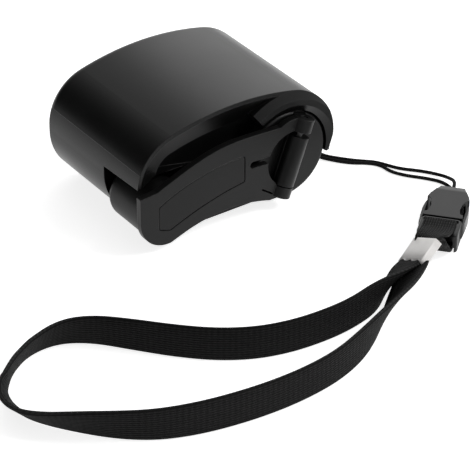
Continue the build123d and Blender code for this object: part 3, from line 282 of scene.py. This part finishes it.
def finish(name, effect, bumpDepth, bumpStrength, metallic=0.0, coat=0.0, specular=0.5, edge=0.25, **values):
    # edge is the radius of the rounded corners in mm, and 0 leaves them out together with their painted edge highlight
    material = bpy.data.materials.new(name)
    material.use_nodes = True
    tree = material.node_tree
    shader = tree.nodes["Principled BSDF"]
    surface = tree.nodes.new("ShaderNodeGroup")
    surface.node_tree = effect
    for key, value in values.items():
        surface.inputs[key.replace("_", " ")].default_value = value
    bump = tree.nodes.new("ShaderNodeBump")
    bump.inputs["Distance"].default_value = bumpDepth
    bump.inputs["Strength"].default_value = bumpStrength
    tree.links.new(surface.outputs["Height"], bump.inputs["Height"])
    tree.links.new(bump.outputs[0], shader.inputs["Normal"])
    tree.links.new(surface.outputs["Roughness"], shader.inputs["Roughness"])
    if edge:
        corners = tree.nodes.new("ShaderNodeGroup")
        corners.node_tree = roundedEdges
        corners.inputs["Radius"].default_value = edge * mm
        tree.links.new(corners.outputs["Normal"], bump.inputs["Normal"])
        # the masked corners are painted seven times lighter than the surface: partly rub wear, partly a painted edge
        # highlight
        rubAndEdgeHighlight = tree.nodes.new("ShaderNodeMix")
        rubAndEdgeHighlight.data_type = "RGBA"
        tree.links.new(corners.outputs["Wear And Edge Highlight"], rubAndEdgeHighlight.inputs[0])
        tree.links.new(surface.outputs["Color"], rubAndEdgeHighlight.inputs[6])
        rubAndEdgeHighlight.inputs[7].default_value = [min(1, 7 * part) for part in values["Color"][:3]] + [1]
        tree.links.new(rubAndEdgeHighlight.outputs[2], shader.inputs["Base Color"])
    else:
        tree.links.new(surface.outputs["Color"], shader.inputs["Base Color"])
    shader.inputs["Metallic"].default_value = metallic
    shader.inputs["Coat Weight"].default_value = coat
    shader.inputs["Specular IOR Level"].default_value = specular
    return material


def grey(level, warm=0.0):
    return (level * (1 + warm), level, level * (1 - warm), 1)


def plastic(name, level, rough=0.4, spread=0.1, scale=3000, depth=0.03, specular=0.22, edge=0.25):
    return finish(
        name,
        mouldedGrain,
        depth * mm,
        0.35,
        specular=specular,
        edge=edge,
        Color=grey(level),
        Worn_Color=grey(level * 1.5),
        Grain_Scale=scale,
        Roughness=rough,
        Spread=spread,
    )


def coloured(name, color, rough=0.4, coat=0.0, scale=2500, specular=0.4):
    wornAndLit = tuple(min(1, 1.25 * part) for part in color)
    return finish(
        name,
        mouldedGrain,
        0.02 * mm,
        0.3,
        coat=coat,
        specular=specular,
        edge=0,
        Color=(*color, 1),
        Worn_Color=(*wornAndLit, 1),
        Grain_Scale=scale,
        Roughness=rough,
    )


def metal(name, color, tarnish, rough=0.25, scale=900, metallic=1.0, edge=0.12):
    return finish(
        name,
        brushedMetal,
        0.02 * mm,
        0.25,
        metallic=metallic,
        edge=edge,
        Color=(*color, 1),
        Tarnish=(*tarnish, 1),
        Roughness=rough,
        Scratch_Scale=scale,
    )


def cloth(name, level, thread, rib, warp, depth):
    return finish(
        name,
        ribbedWeave,
        depth * mm,
        0.9,
        specular=0.12,
        edge=0,
        Color=grey(level),
        Thread_Color=grey(thread),
        Rib_Pitch=rib * mm,
        Warp_Pitch=warp * mm,
    )


finishes = {
    "shell": plastic("satinShell", 0.0035, rough=0.31, spread=0.1, scale=3200, depth=0.04),
    "hub": plastic("satinHub", 0.005, rough=0.38),
    "arm": plastic("satinArm", 0.006, rough=0.36, spread=0.12, scale=3400, edge=0.32),
    "arm_cover": plastic("coverPanel", 0.0055, rough=0.42, spread=0.08, scale=4200, depth=0.02),
    "knob": plastic("satinKnob", 0.0045, rough=0.4, scale=2800, depth=0.04),
    "buckle": plastic("buckleAcetal", 0.005, rough=0.33, spread=0.12, specular=0.22),
    "webbing": cloth("ribbedWebbing", 0.003, 0.034, rib=1.5, warp=0.7, depth=0.45),
    "string": cloth("braidedString", 0.003, 0.02, rib=1.1, warp=0.5, depth=0.1),
    "crimp_steel": metal("brightCrimp", (0.95, 0.93, 0.91), (0.88, 0.86, 0.84), rough=0.3, metallic=0.1),
    "steel": metal("screwSteel", (0.55, 0.55, 0.56), (0.4, 0.39, 0.37), rough=0.28),
    "plate_steel": metal("platedSheet", (0.62, 0.62, 0.62), (0.46, 0.45, 0.42)),
    "brass": metal("contactBrass", (0.8, 0.58, 0.24), (0.5, 0.34, 0.14), rough=0.2),
    "bushing": metal("bushingBronze", (0.5, 0.33, 0.16), (0.3, 0.2, 0.1), rough=0.45),
    "copper": metal("windingCopper", (0.7, 0.3, 0.12), (0.35, 0.12, 0.05), rough=0.3, scale=2600),
    "magnet": plastic("sinteredMagnet", 0.03, rough=0.6),
    "ferrite": plastic("ferriteBlock", 0.03, rough=0.7, depth=0.05),
    "chip": plastic("chipEpoxy", 0.015, rough=0.5),
    "black_insulation": plastic("blackInsulation", 0.012, rough=0.4),
    "nylon": coloured("gearNylon", (0.77, 0.75, 0.7), rough=0.42),
    "inner_plastic": coloured("socketPlastic", (0.68, 0.68, 0.66), rough=0.45),
    "board": coloured("solderMask", (0.01, 0.1, 0.03), rough=0.35, coat=0.3, scale=900),
    "capacitor_sleeve": coloured("capacitorSleeve", (0.01, 0.015, 0.06), rough=0.25),
    "red_insulation": coloured("redInsulation", (0.45, 0.01, 0.01)),
    "lamp_glass": coloured("lampLens", (0.6, 0.75, 0.62), rough=0.2),
}
darkSteel = metal("blackenedPin", (0.12, 0.12, 0.12), (0.06, 0.06, 0.06), rough=0.35)


def dressNodes():
    slots = {part["node"]: part["material_slot"] for part in frame["record"]["subparts"]}
    for name, node in nodes.items():
        node.data.materials.clear()
        node.data.materials.append(darkSteel if name == "hinge_pin" else finishes[slots[name]])


dressNodes()
print("finishes on the carried pieces:", len(finishes))

coverPanel = {"groove": 0.35, "drop": 0.3}  # mm, the bevel round the inlaid panel
buckle = {
    "centre": (24.5, -39.0),
    "heading": 40.5,
    "top": 5.6,
    # half outline of the socket, x along the buckle from the seam and y across
    "half": ((0.0, 5.75), (9.4, 5.9), (11.4, 5.4), (13.6, 4.4), (15.2, 3.8), (17.0, 3.4)),
    "slope": {"from": 13.8, "to": 17.0, "drop": 0.9},
    # blocks taken out, by opposite corners: the mouth, the eye, and the string's ways under and over its bar
    "hollows": (
        ((-1, -4.9, 1.1), (9.6, 4.9, 4.5)),
        ((11.9, -2.1, -1), (14.9, 2.1, 4.55)),
        ((14.4, -2.1, -1), (18, 2.1, 2.15)),
        ((14.4, -2.1, 3.45), (18, 2.1, 4.55)),
    ),
    # side opening between the core and the grip of the prong
    "opening": ((-1, 5.45), (1.6, 5.45), (2.2, 4.5), (4.4, 4.1), (6.8, 4.3), (8.4, 4.8), (9.4, 5.6), (9.6, 8), (-1, 8)),
    "openingFloor": 0.9,
    "grip": ((-3.2, 5.6), (7.2, 5.6), (8.8, 5.6), (8.6, 5.85), (7.4, 6.15), (4.6, 6.4), (1.0, 6.3), (-3.0, 6.05)),
    "gripHeights": (1.1, 4.7),
    "slot": {"from": -2.9, "to": -1.3, "half": 4.9},  # where the webbing goes down through the plug
    "under": {"from": -10.0, "to": -1.3, "half": 4.9, "height": 1.5},
}
crimpClip = {
    "high": (10.2, -50.3, 9.0),
    "low": (3.4, -52.1, 5.0),
    "side": (-0.06, -0.9, 0.43),
    "width": 10.6,
    "thickness": 2.5,
    "wall": 0.4,
    "corner": 0.35,
    "teeth": 3,
    "toothDepth": 0.8,
    "toothRun": 1.3,
}
webTab = {
    "width": 9.0,
    "thickness": 0.8,
    "pressedRun": 4.0,
    "narrowed": 0.9,
    # x along the buckle, y across and height: from the crimp over the bar, down the slot and back
    "points": (
        (-19.2, 1.37, 8.67), (-18.26, 0.92, 9.26), (-16.6, 0.4, 9.3), (-13.4, 0.1, 8.3), (-9.8, 0, 7.05), (-7.0, 0, 6.25),
        (-4.0, 0, 6.1), (-2.1, 0, 5.9), (-2.1, 0, 3.2), (-2.1, 0, 0.8), (-4.6, 0, 0.7), (-8.6, 0, 0.7),
        (-11.4, 0, 2.0), (-14.0, 0.1, 5.6), (-16.4, 0.25, 8.2), (-18.15, 0.46, 8.74), (-19.08, 0.91, 8.15),
    ),
}


def mergedCopy(name):
    # the carried piece's shape as whole faces, ready to be cut or bevelled
    body = bmesh.new()
    body.from_mesh(nodes[name].data)
    bmesh.ops.remove_doubles(body, verts=body.verts, dist=0.002 * mm)
    bmesh.ops.dissolve_limit(body, angle_limit=radians(1), verts=body.verts, edges=body.edges)
    return body


def blockMesh(name, low, high, corner, place):
    # a block with rounded upright corners, from two opposite corners in mm
    mesh = bpy.data.meshes.new(name)
    body = bmesh.new()
    bmesh.ops.create_cube(body, size=1)
    size = Vector(high) - Vector(low)
    bmesh.ops.scale(body, vec=size * mm, verts=body.verts)
    upright = [edge for edge in body.edges if abs(edge.verts[0].co.z - edge.verts[1].co.z) > size.z * mm / 2]
    bmesh.ops.bevel(
        body, geom=upright, offset=corner * mm, segments=4, profile=0.5, affect="EDGES", material=-1
    )
    bmesh.ops.translate(body, vec=(Vector(low) + Vector(high)) / 2 * mm, verts=body.verts)
    bmesh.ops.transform(body, matrix=place, verts=body.verts)
    body.to_mesh(mesh)
    body.free()
    return mesh


def prismMesh(name, outline, low, high, place):
    # an upright prism over an outline in mm
    mesh = bpy.data.meshes.new(name)
    body = bmesh.new()
    floor = body.faces.new([body.verts.new(Vector((x, y, low)) * mm) for x, y in outline])
    grown = bmesh.ops.extrude_face_region(body, geom=[floor])["geom"]
    risen = [item for item in grown if isinstance(item, bmesh.types.BMVert)]
    bmesh.ops.translate(body, vec=(0, 0, (high - low) * mm), verts=risen)
    bmesh.ops.transform(body, matrix=place, verts=body.verts)
    bmesh.ops.recalc_face_normals(body, faces=body.faces)
    body.to_mesh(mesh)
    body.free()
    return mesh


def carve(name, body, steps):
    # the shape with each step's block taken away or added, as one mesh
    mesh = bpy.data.meshes.new(name)
    body.to_mesh(mesh)
    body.free()
    shape = bpy.data.objects.new(name + "Blank", mesh)
    bpy.context.scene.collection.objects.link(shape)
    tools = []
    for operation, block in steps:
        tool = bpy.data.objects.new(name + "Tool", block)
        bpy.context.scene.collection.objects.link(tool)
        change = shape.modifiers.new("change", "BOOLEAN")
        change.operation = operation
        change.solver = "EXACT"
        change.object = tool
        tools.append(tool)
    bpy.context.view_layer.update()
    carved = bpy.data.meshes.new_from_object(shape.evaluated_get(bpy.context.evaluated_depsgraph_get()))
    for tool in tools + [shape]:
        spent = tool.data
        bpy.data.objects.remove(tool)
        bpy.data.meshes.remove(spent)
    carved.name = name
    return carved


def flatShade(mesh):
    # smooth over the curves and crisp at the corners
    mesh.shade_smooth()
    mesh.set_sharp_from_angle(angle=radians(30))


def makeCover():
    body = mergedCopy("arm_cover")
    front = [face for face in body.faces if face.normal.y < -0.99]
    rim = bmesh.ops.inset_region(
        body, faces=front, thickness=coverPanel["groove"] * mm, depth=0, use_even_offset=True
    )["faces"]
    inner = {vertex for face in front for vertex in face.verts}
    outer = {vertex for face in rim for vertex in face.verts} - inner
    bmesh.ops.translate(body, vec=(0, coverPanel["drop"] * mm, 0), verts=list(outer))
    mesh = bpy.data.meshes.new("armCoverPanel")
    body.to_mesh(mesh)
    body.free()
    flatShade(mesh)
    mesh.materials.clear()
    mesh.materials.append(finishes["arm_cover"])
    piece = newObject("armCoverPanel", mesh, "arm", smooth=False)
    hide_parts("arm_cover")


def buckleFrame():
    turn = Matrix.Rotation(radians(buckle["heading"]), 4, "Z")
    return Matrix.Translation(onFloor((*buckle["centre"], 0))) @ turn


def mirrored(outline):
    return [(x, -y) for x, y in reversed(outline)]


def makeBuckle():
    place = buckleFrame()
    top = buckle["top"]
    slope = buckle["slope"]
    # the wedge stands on its side, so that its outline is in x and height
    onSide = place @ Matrix.Rotation(pi / 2, 4, "X")
    fall = slope["drop"] / (slope["to"] - slope["from"])
    beyond = slope["to"] + 1
    low = top - fall * (beyond - slope["from"])
    wedge = ((slope["from"], top), (beyond, low), (beyond, top + 1), (slope["from"], top + 1))
    socketSteps = [("DIFFERENCE", prismMesh("wedge", wedge, -8, 8, onSide))]
    for corners in buckle["hollows"]:
        socketSteps.append(("DIFFERENCE", blockMesh("hollow", *corners, 0.2, place)))
    plugSteps = []
    low, high = buckle["gripHeights"]
    for flip in (False, True):
        opening = mirrored(buckle["opening"]) if flip else buckle["opening"]
        grip = mirrored(buckle["grip"]) if flip else buckle["grip"]
        socketSteps.append(("DIFFERENCE", prismMesh("opening", opening, buckle["openingFloor"], 9, place)))
        plugSteps.append(("UNION", prismMesh("grip", grip, low, high, place)))
    slot = buckle["slot"]
    under = buckle["under"]
    slotBlock = blockMesh("slot", (slot["from"], -slot["half"], -1), (slot["to"], slot["half"], 9), 0.5, place)
    lowCorner = (under["from"], -under["half"], -1)
    underBlock = blockMesh("under", lowCorner, (under["to"], under["half"], under["height"]), 0.1, place)
    plugSteps += [("DIFFERENCE", slotBlock), ("DIFFERENCE", underBlock)]
    whole = bmesh.new()
    whole.from_mesh(prismMesh("socketBlank", [*buckle["half"], *mirrored(buckle["half"])], 0, top, place))
    socket = carve("buckleSocket", whole, socketSteps)
    plug = carve("bucklePlug", mergedCopy("buckle_plug"), plugSteps)
    for mesh, body, node in ((socket, "casing", "buckle_socket"), (plug, "buckle_half", "buckle_plug")):
        flatShade(mesh)
        mesh.materials.clear()
        mesh.materials.append(finishes["buckle"])
        piece = newObject(mesh.name, mesh, body, smooth=False)
        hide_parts(node)
        print("buckle piece:", mesh.name, len(mesh.polygons), "faces")


def crimpFrame():
    high = onFloor(crimpClip["high"])
    low = onFloor(crimpClip["low"])
    run = (low - high).normalized()
    side = Vector(crimpClip["side"])
    side = (side - run * side.dot(run)).normalized()
    turn = Matrix((run, side, run.cross(side))).transposed().to_4x4()
    return Matrix.Translation((high + low) / 2) @ turn, (low - high).length


def makeCrimp():
    place, length = crimpFrame()
    width = crimpClip["width"] * mm
    thickness = crimpClip["thickness"] * mm
    mesh = bpy.data.meshes.new("toothedCrimp")
    body = bmesh.new()
    bmesh.ops.create_cube(body, size=1)
    bmesh.ops.scale(body, vec=(length, width, thickness), verts=body.verts)
    ends = [face for face in body.faces if abs(face.normal.x) > 0.9]
    bmesh.ops.delete(body, geom=ends, context="FACES_ONLY")
    folds = [edge for edge in body.edges if abs(edge.verts[0].co.x - edge.verts[1].co.x) > length / 2]
    bmesh.ops.bevel(
        body, geom=folds, offset=crimpClip["corner"] * mm, segments=5, profile=0.5, affect="EDGES", material=-1
    )
    steps = 8 * crimpClip["teeth"]
    for step in range(1, steps):
        everything = body.verts[:] + body.edges[:] + body.faces[:]
        spot = (0, width * (step / steps - 0.5), 0)
        bmesh.ops.bisect_plane(body, geom=everything, plane_co=spot, plane_no=(0, 1, 0))
    everything = body.verts[:] + body.edges[:] + body.faces[:]
    spot = (length / 2 - crimpClip["toothRun"] * mm, 0, 0)
    bmesh.ops.bisect_plane(body, geom=everything, plane_co=spot, plane_no=(1, 0, 0))
    for vertex in body.verts:
        if vertex.co.x > length * 0.49:
            wave = cos(2 * pi * crimpClip["teeth"] * vertex.co.y / width)
            vertex.co.x -= crimpClip["toothDepth"] * mm * (0.5 + 0.5 * wave)
    bmesh.ops.transform(body, matrix=place, verts=body.verts)
    body.to_mesh(mesh)
    body.free()
    flatShade(mesh)
    mesh.materials.append(finishes["crimp_steel"])
    piece = newObject("toothedCrimp", mesh, "buckle_half", smooth=False)
    wall = piece.modifiers.new("wall", "SOLIDIFY")
    wall.thickness = crimpClip["wall"] * mm
    wall.offset = -1
    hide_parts("crimp")
    return piece


# Route of the strap in plan, in mm from the crank axis: out along the near run, back along the far one
strap = {
    "width": 10.0,
    "thickness": 1.2,
    "points": (
        (2.0, -54.2), (-4.8, -59.2), (-12.6, -64.2), (-21.0, -69.2), (-30.0, -73.8), (-39.8, -77.2),
        (-50.2, -78.6), (-60.8, -78.6), (-71.4, -77.4), (-81.6, -75.2), (-91.0, -71.6), (-98.8, -66.2),
        (-105.6, -59.8), (-111.4, -53.4), (-115.0, -47.2), (-115.2, -40.8), (-111.6, -35.4), (-105.6, -29.6),
        (-98.2, -25.4), (-89.8, -24.6), (-82.2, -28.6), (-75.0, -36.6), (-67.6, -45.2), (-60.0, -52.4),
        (-51.6, -57.6), (-42.6, -60.4), (-33.4, -61.4), (-24.6, -61.2), (-16.0, -59.4), (-7.4, -56.6),
        (0.6, -52.2),
    ),
    "mouth": ((4.7, -52.0, 5.2), (4.1, -51.6, 5.95)),  # the two ends, one on the other inside the crimp
    # from flat in the crimp to standing on its edge, over these lengths of the near and the far run
    "twistRuns": (46.0, 24.0),
    "lean": {"run": 30.0, "most": 0.92, "leftward": (0.82, -0.57, 0), "camera": (-0.48, -0.69, 0.54)},
    "pressedRun": 3.0,  # near the crimp the webbing is pressed thin
    "pressed": 0.65,
    "narrowed": 0.92,
}
string = {
    "diameter": 1.0,
    "points": (
        (8.0, 17.0, 8.4), (12.6, 16.9, 8.2), (17.2, 15.6, 4.4), (21.4, 12.2, 0.8), (25.2, 7.6, 0.6),
        (28.6, 3.8, 0.6), (32.2, 0.6, 0.6), (33.9, -3.0, 0.6), (35.8, -6.6, 0.6), (39.8, -10.8, 0.6),
        (42.8, -15.6, 0.7), (42.8, -20.2, 1.8), (40.9, -24.4, 3.6), (38.4, -27.2, 4.2),
        (35.1, -29.9, 4.2), (35.1, -29.9, 1.4), (38.4, -27.2, 1.3), (40.9, -23.4, 0.8),
        (41.0, -18.8, 0.6), (38.2, -14.4, 0.6), (34.6, -10.2, 0.6), (32.4, -6.0, 0.6),
        (32.4, -1.9, 0.6), (30.2, 1.2, 0.6), (26.2, 4.0, 0.6), (23.2, 7.6, 0.6), (19.6, 12.6, 0.9),
        (15.8, 17.2, 4.4), (12.4, 19.9, 8.0), (8.0, 20.2, 8.4),
    ),
}


def bandSection(width, thickness):
    soft = thickness * 0.35
    w = width / 2
    t = thickness / 2
    lower = [(-w, -t + soft), (-w + soft, -t), (-w / 2, -t), (0, -t), (w / 2, -t), (w - soft, -t), (w, -t + soft)]
    return lower + [(a, -b) for a, b in reversed(lower)]


def roundSection(diameter, sides=10):
    return [
        (diameter / 2 * cos(2 * pi * i / sides), diameter / 2 * sin(2 * pi * i / sides)) for i in range(sides)
    ]


def sweep(name, route, sectionAt, sideAt):
    # a section carried along the route: an open ring of corners, extruded step by step
    mesh = bpy.data.meshes.new(name)
    body = bmesh.new()
    uvMap = body.loops.layers.uv.new("UVMap")
    reach = {}
    around = {}
    travel = 0.0
    corners = []
    edges = []
    first = []
    for i, point in enumerate(route):
        ahead = (route[min(i + 1, len(route) - 1)] - route[max(i - 1, 0)]).normalized()
        side = sideAt(travel)
        side = (side - ahead * side.dot(ahead)).normalized()
        face = ahead.cross(side)
        section = sectionAt(travel)
        if not corners:
            corners = [body.verts.new(point) for spot in section]
            edges = [body.edges.new((a, b)) for a, b in zip(corners, corners[1:] + corners[:1])]
            first = corners
        else:
            grown = bmesh.ops.extrude_edge_only(body, edges=edges)["geom"]
            fresh = {item for item in grown if isinstance(item, bmesh.types.BMVert)}
            following = []
            for corner in corners:
                links = [edge.other_vert(corner) for edge in corner.link_edges]
                following.append(next(other for other in links if other in fresh))
            corners = following
            edges = [body.edges.get((a, b)) for a, b in zip(corners, corners[1:] + corners[:1])]
        for corner, (a, b) in zip(corners, section):
            corner.co = point + side * a + face * b
            reach[corner] = travel
            around[corner] = a
        if i + 1 < len(route):
            travel += (route[i + 1] - point).length
    body.faces.new(first)
    body.faces.new(list(reversed(corners)))
    for face in body.faces:
        for loop in face.loops:
            loop[uvMap].uv = (around[loop.vert], reach[loop.vert])
    bmesh.ops.recalc_face_normals(body, faces=body.faces)
    body.to_mesh(mesh)
    body.free()
    return mesh


def makeTab():
    place = buckleFrame()
    points = [place @ (Vector(point) * mm) for point in webTab["points"]]
    route = routeOf("tabLine", points)
    total = lengthOf(route)
    level = (place.to_3x3() @ Vector((0, 1, 0))).normalized()
    tilted = -Vector(crimpClip["side"]).normalized()

    def sideAt(travel):
        near = min(1, min(travel, total - travel) / (9 * mm))
        return tilted.lerp(level, near * near * (3 - 2 * near))

    def sectionAt(travel):
        near = min(1, min(travel, total - travel) / (webTab["pressedRun"] * mm))
        narrow = webTab["narrowed"] + (1 - webTab["narrowed"]) * near
        return bandSection(webTab["width"] * mm * narrow, webTab["thickness"] * mm * (0.5 + 0.5 * near))

    mesh = sweep("webbingTab", route, sectionAt, sideAt)
    mesh.materials.append(finishes["webbing"])
    piece = newObject("webbingTab", mesh, "buckle_half")
    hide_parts("strap_tab")
    return piece


def makeStrap(pieces):
    mouth = strap["mouth"]
    plan = [(u, y, strap["width"] / 2 + 0.05) for u, y in strap["points"]]
    route = routeOf("strapLine", [onFloor(point) for point in (mouth[0], *plan, mouth[1])])
    total = lengthOf(route)
    flat = Vector(crimpClip["side"]).normalized()
    width = strap["width"] * mm
    pressed = strap["pressedRun"] * mm

    lean = strap["lean"]
    toCamera = Vector(lean["camera"]).normalized()
    travels = [0.0]
    for before, after in zip(route, route[1:]):
        travels.append(travels[-1] + (after - before).length)
    bend = max(range(len(route)), key=lambda i: -route[i].dot(Vector(lean["leftward"])))
    upright = Vector((0, 0, 1))
    sides = []
    footed = []
    for i, point in enumerate(route):
        ahead = (route[min(i + 1, len(route) - 1)] - route[max(i - 1, 0)]).normalized()
        left = travels[i]
        near = min(1, left / (strap["twistRuns"][0] * mm), (total - left) / (strap["twistRuns"][1] * mm))
        side = flat.lerp(upright, near * near * (3 - 2 * near))
        # at the far bend the strap leans toward the camera, and its lower edge stays on the floor
        edgeOn = (toCamera - ahead * toCamera.dot(ahead)).normalized()
        amount = lean["most"] * exp(-(((left - travels[bend]) / (lean["run"] * mm)) ** 2))
        leaning = side.lerp(edgeOn, amount).normalized()
        sides.append(leaning)
        drop = (leaning.z - side.normalized().z) * width / 2
        rise = Vector((leaning.x, leaning.y)).length * strap["thickness"] * mm / 2
        footed.append(point + Vector((0, 0, drop + (rise if near == 1 else 0))))

    def sideAt(travel):
        return sides[min(range(len(travels)), key=lambda i: abs(travels[i] - travel))]

    def sectionAt(travel):
        near = min(1, min(travel, total - travel) / pressed)
        squeeze = strap["pressed"] + (1 - strap["pressed"]) * near
        narrow = strap["narrowed"] + (1 - strap["narrowed"]) * near
        return bandSection(width * narrow, strap["thickness"] * mm * squeeze)

    mesh = sweep("wristStrap", footed, sectionAt, sideAt)
    mesh.materials.append(finishes["webbing"])
    piece = newObject("wristStrap", mesh, "buckle_half")
    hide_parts("wrist_strap")
    print("strap:", round(total * 1000), "mm")


def makeString():
    route = routeOf("stringLine", [onFloor(point) for point in string["points"]])
    section = roundSection(string["diameter"] * mm)
    mesh = sweep("lanyardString", route, lambda travel: section, lambda travel: Vector((0.02, 0.01, 1)))
    mesh.materials.append(finishes["string"])
    piece = newObject("lanyardString", mesh, "casing")
    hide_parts("lanyard_string")
    print("string:", round(lengthOf(route) * 1000), "mm")


makeStrap([makeTab(), makeCrimp()])
makeString()
makeCover()
makeBuckle()
print("lanyard, cover panel and buckle made")

studio = {"floorSize": 4.0, "ground": (0.86, 0.86, 0.86, 1), "glow": 0.8, "air": 0.55, "dark": 0.05}
lamps = {
    "backRight": {"at": (0.72, 0.55, 0.5), "size": (0.9, 0.7), "power": 2.0},
    "leftFill": {"at": (-0.8, -0.35, 0.45), "size": (0.5, 0.5), "power": 0.6},
    "frontTop": {"at": (0.42, -0.42, 0.6), "size": (0.3, 0.3), "power": 2.6},
}


def seenDirectly(tree):
    # 1 for a ray from the camera, off a gloss or through glass, and 0 for the light on the object
    path = tree.nodes.new("ShaderNodeLightPath")
    total = path.outputs["Is Camera Ray"]
    for kind in ("Is Glossy Ray", "Is Transmission Ray"):
        either = tree.nodes.new("ShaderNodeMath")
        either.operation = "MAXIMUM"
        tree.links.new(total, either.inputs[0])
        tree.links.new(path.outputs[kind], either.inputs[1])
        total = either.outputs[0]
    return total


def makeFloor():
    mesh = bpy.data.meshes.new("floor")
    ground = bmesh.new()
    bmesh.ops.create_grid(ground, x_segments=1, y_segments=1, size=studio["floorSize"] / 2)
    ground.to_mesh(mesh)
    ground.free()
    floor = bpy.data.objects.new("floor", mesh)
    bpy.context.scene.collection.objects.link(floor)
    material = bpy.data.materials.new("paleGround")
    material.use_nodes = True
    tree = material.node_tree
    shader = tree.nodes["Principled BSDF"]
    shader.inputs["Base Color"].default_value = studio["ground"]
    shader.inputs["Roughness"].default_value = 0.9
    level = tree.nodes.new("ShaderNodeMath")
    level.operation = "MULTIPLY"
    level.inputs[1].default_value = studio["glow"]
    tree.links.new(seenDirectly(tree), level.inputs[0])
    glow = tree.nodes.new("ShaderNodeEmission")
    tree.links.new(level.outputs[0], glow.inputs["Strength"])
    both = tree.nodes.new("ShaderNodeAddShader")
    tree.links.new(shader.outputs[0], both.inputs[0])
    tree.links.new(glow.outputs[0], both.inputs[1])
    tree.links.new(both.outputs[0], tree.nodes["Material Output"].inputs["Surface"])
    mesh.materials.append(material)


def makeLight():
    scene = bpy.context.scene
    scene.view_settings.view_transform = "Standard"
    world = bpy.data.worlds.new("studio")
    scene.world = world
    world.use_nodes = True
    tree = world.node_tree
    sky = tree.nodes["Background"]
    sky.inputs["Color"].default_value = (1, 1, 1, 1)
    level = tree.nodes.new("ShaderNodeMix")
    level.inputs[2].default_value = studio["air"]
    level.inputs[3].default_value = 1.0
    tree.links.new(seenDirectly(tree), level.inputs[0])
    tree.links.new(level.outputs[0], sky.inputs["Strength"])
    # the studio is dark on the left and white on the right
    direction = tree.nodes.new("ShaderNodeTexCoord")
    apart = tree.nodes.new("ShaderNodeSeparateXYZ")
    fade = tree.nodes.new("ShaderNodeMapRange")
    fade.interpolation_type = "SMOOTHSTEP"
    fade.inputs["From Min"].default_value = -0.6
    fade.inputs["From Max"].default_value = 0.5
    fade.inputs["To Min"].default_value = studio["dark"]
    tree.links.new(direction.outputs["Generated"], apart.inputs[0])
    tree.links.new(apart.outputs["X"], fade.inputs["Value"])
    tree.links.new(fade.outputs[0], sky.inputs["Color"])
    for name, lamp in lamps.items():
        data = bpy.data.lights.new(name, "AREA")
        data.shape = "RECTANGLE"
        data.size = lamp["size"][0]
        data.size_y = lamp["size"][1]
        data.energy = lamp["power"]
        light = bpy.data.objects.new(name, data)
        light.location = hub + Vector(lamp["at"])
        light.rotation_euler = (Vector(lamp["at"])).to_track_quat("Z", "Y").to_euler()
        scene.collection.objects.link(light)


makeFloor()
makeLight()
print("floor and light set")
